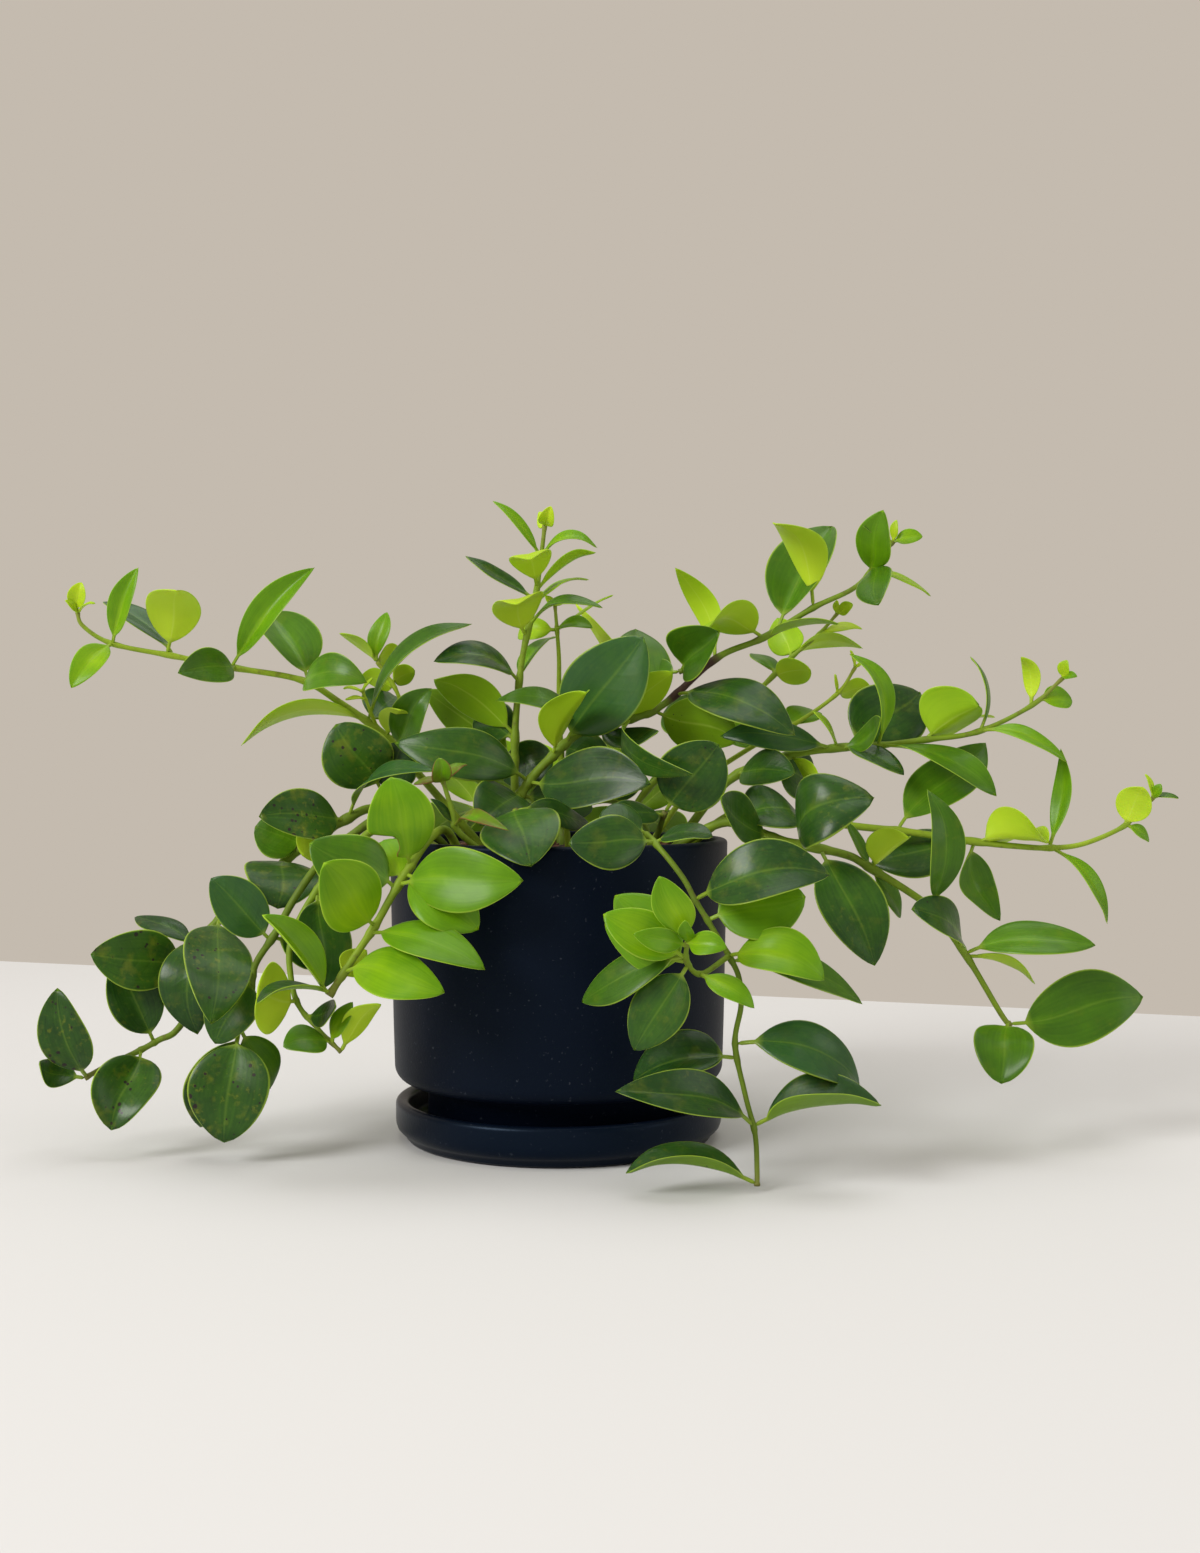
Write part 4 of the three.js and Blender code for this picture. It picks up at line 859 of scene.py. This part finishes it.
def make_soil(material):
    """Soil with an uneven top and bark chips half sunk in it."""
    floor = FLOOR_TOP + SOIL_GAP
    edge = inner_radius(SOIL_TOP) - 0.8
    profile = [(0, floor), (inner_radius(floor) - 9, floor), (inner_radius(floor + 8) - 1, floor + 8),
               (edge, SOIL_TOP - 1)]
    rings = 26
    profile += [(edge * (1 - step / rings), SOIL_TOP) for step in range(rings + 1)]

    # Both seeds are set, so that the chips are the same in each run
    draw = random.Random(CHIP_SEED)
    noise.seed_set(CHIP_SEED)

    def near_root(x, y):
        return any((x - root_x) ** 2 + (y - root_y) ** 2 < 16 for root_x, root_y in ROOTS)

    def shape(bm, look):
        for vert in bm.verts:
            vert[look] = (0, 0, 0, 1)
            if vert.co.z > (SOIL_TOP - 0.5) * MM:
                x, y = vert.co.x / MM, vert.co.y / MM
                lump = noise.noise(Vector((x / 7, y / 7, 0))) * 2.2
                lump += noise.noise(Vector((x / 2.5, y / 2.5, 4)))
                vert.co.z += (SOIL_BUMP * math.sin(x / 9) * math.cos(y / 7 + x / 23) + lump) * MM
        for chip in range(CHIPS):
            angle = draw.random() * math.tau
            reach = edge * 0.97 * math.sqrt(draw.random())
            x, y = reach * math.cos(angle), reach * math.sin(angle)
            if near_root(x, y):
                continue
            size = draw.uniform(1.6, 5.2)
            spin = Matrix.Rotation(draw.random() * math.tau, 4, "Z")
            tilt = Matrix.Rotation(draw.uniform(-0.6, 0.6), 4, "X")
            flat = Matrix.Diagonal((size, size * draw.uniform(0.5, 0.9), size * draw.uniform(0.25, 0.5), 1))
            spot = Matrix.Translation((x, y, SOIL_TOP + draw.uniform(-0.2, 1.4)))
            placed = spot @ spin @ tilt @ flat
            tone = draw.random()
            for vert in bmesh.ops.create_icosphere(bm, subdivisions=2, radius=1, matrix=placed)["verts"]:
                vert.co += noise.noise_vector(vert.co / 1.7) * 0.45
                vert.co *= MM
                vert[look] = (tone, tone, tone, 1)

    turned_body("soil_bark", profile, "soil", material, 120, shape)


def make_floor():
    """Pale table top that ends behind the plant."""
    graph = Graph("pale_paper", IOR=1.4, Specular_IOR_Level=0.2)
    grain = graph.noise(3, 3)
    graph.feed("Base Color", graph.mix(grain * 0.3, (0.61, 0.615, 0.62, 1), (0.64, 0.64, 0.635, 1)))
    graph.feed("Roughness", 0.75 + grain * 0.1)
    half_width = 4
    front = -3
    back = 0.52
    bm = bmesh.new()
    for vert in bmesh.ops.create_grid(bm, x_segments=8, y_segments=8, size=0.5)["verts"]:
        vert.co = Vector((vert.co.x * 2 * half_width, front + (back - front) * (vert.co.y + 0.5), 0))
    floor = to_object(bm, "floor", [graph.material])
    floor.rotation_euler = (0, 0, math.radians(-19))


def add_light(name, place, size, power, colour=(1, 1, 1)):
    """Round soft light at a place in metres, turned to the pot's rim."""
    light = bpy.data.lights.new(name, "AREA")
    light.shape = "DISK"
    light.size = size
    light.energy = power
    light.color = colour
    obj = bpy.data.objects.new(name, light)
    obj.location = place
    obj.rotation_euler = (Vector((0, 0, 0.15)) - Vector(place)).to_track_quat("-Z", "Y").to_euler()
    bpy.context.collection.objects.link(obj)


def make_camera():
    camera = bpy.data.cameras.new("camera")
    camera.sensor_width = 36
    camera.lens = LENS
    camera.shift_y = SHIFT
    obj = bpy.data.objects.new("camera", camera)
    obj.location = VIEWER * MM
    obj.rotation_euler = (math.radians(90), 0, 0)
    bpy.context.collection.objects.link(obj)
    bpy.context.scene.camera = obj


def make_world():
    """Even warm grey backdrop, which also lights the plant from all sides."""
    world = bpy.data.worlds.new("studio")
    world.use_nodes = True
    background = world.node_tree.nodes["Background"]
    background.inputs["Color"].default_value = (0.553, 0.496, 0.428, 1)
    background.inputs["Strength"].default_value = 1
    bpy.context.scene.world = world


ROOTS = [vine["stems"][0]["root"] for vine in VINES]

make_camera()
make_floor()
make_world()
add_light("key", (-2.5, -2.17, 2.17), 1.8, 126, (1, 0.985, 0.97))
add_light("fill", (1.7, -0.9, 0.7), 1.2, 6)
add_light("top", (0.2, 0.3, 2.6), 2.2, 28)
bpy.context.scene.view_settings.view_transform = "Standard"

make_pot(glaze_material("dark_glaze", (0.0008, 0.0018, 0.006, 1), (0.0015, 0.004, 0.012, 1), 0.5))
make_saucer(glaze_material("dark_saucer_glaze", (0.001, 0.0025, 0.007, 1), (0.003, 0.007, 0.017, 1), 0.34))
make_soil(soil_material())
leafy = [leaf_material(), stem_material()]
for index, vine in enumerate(VINES):
    make_vine(vine, leafy, random.Random(VINE_SEED + index))
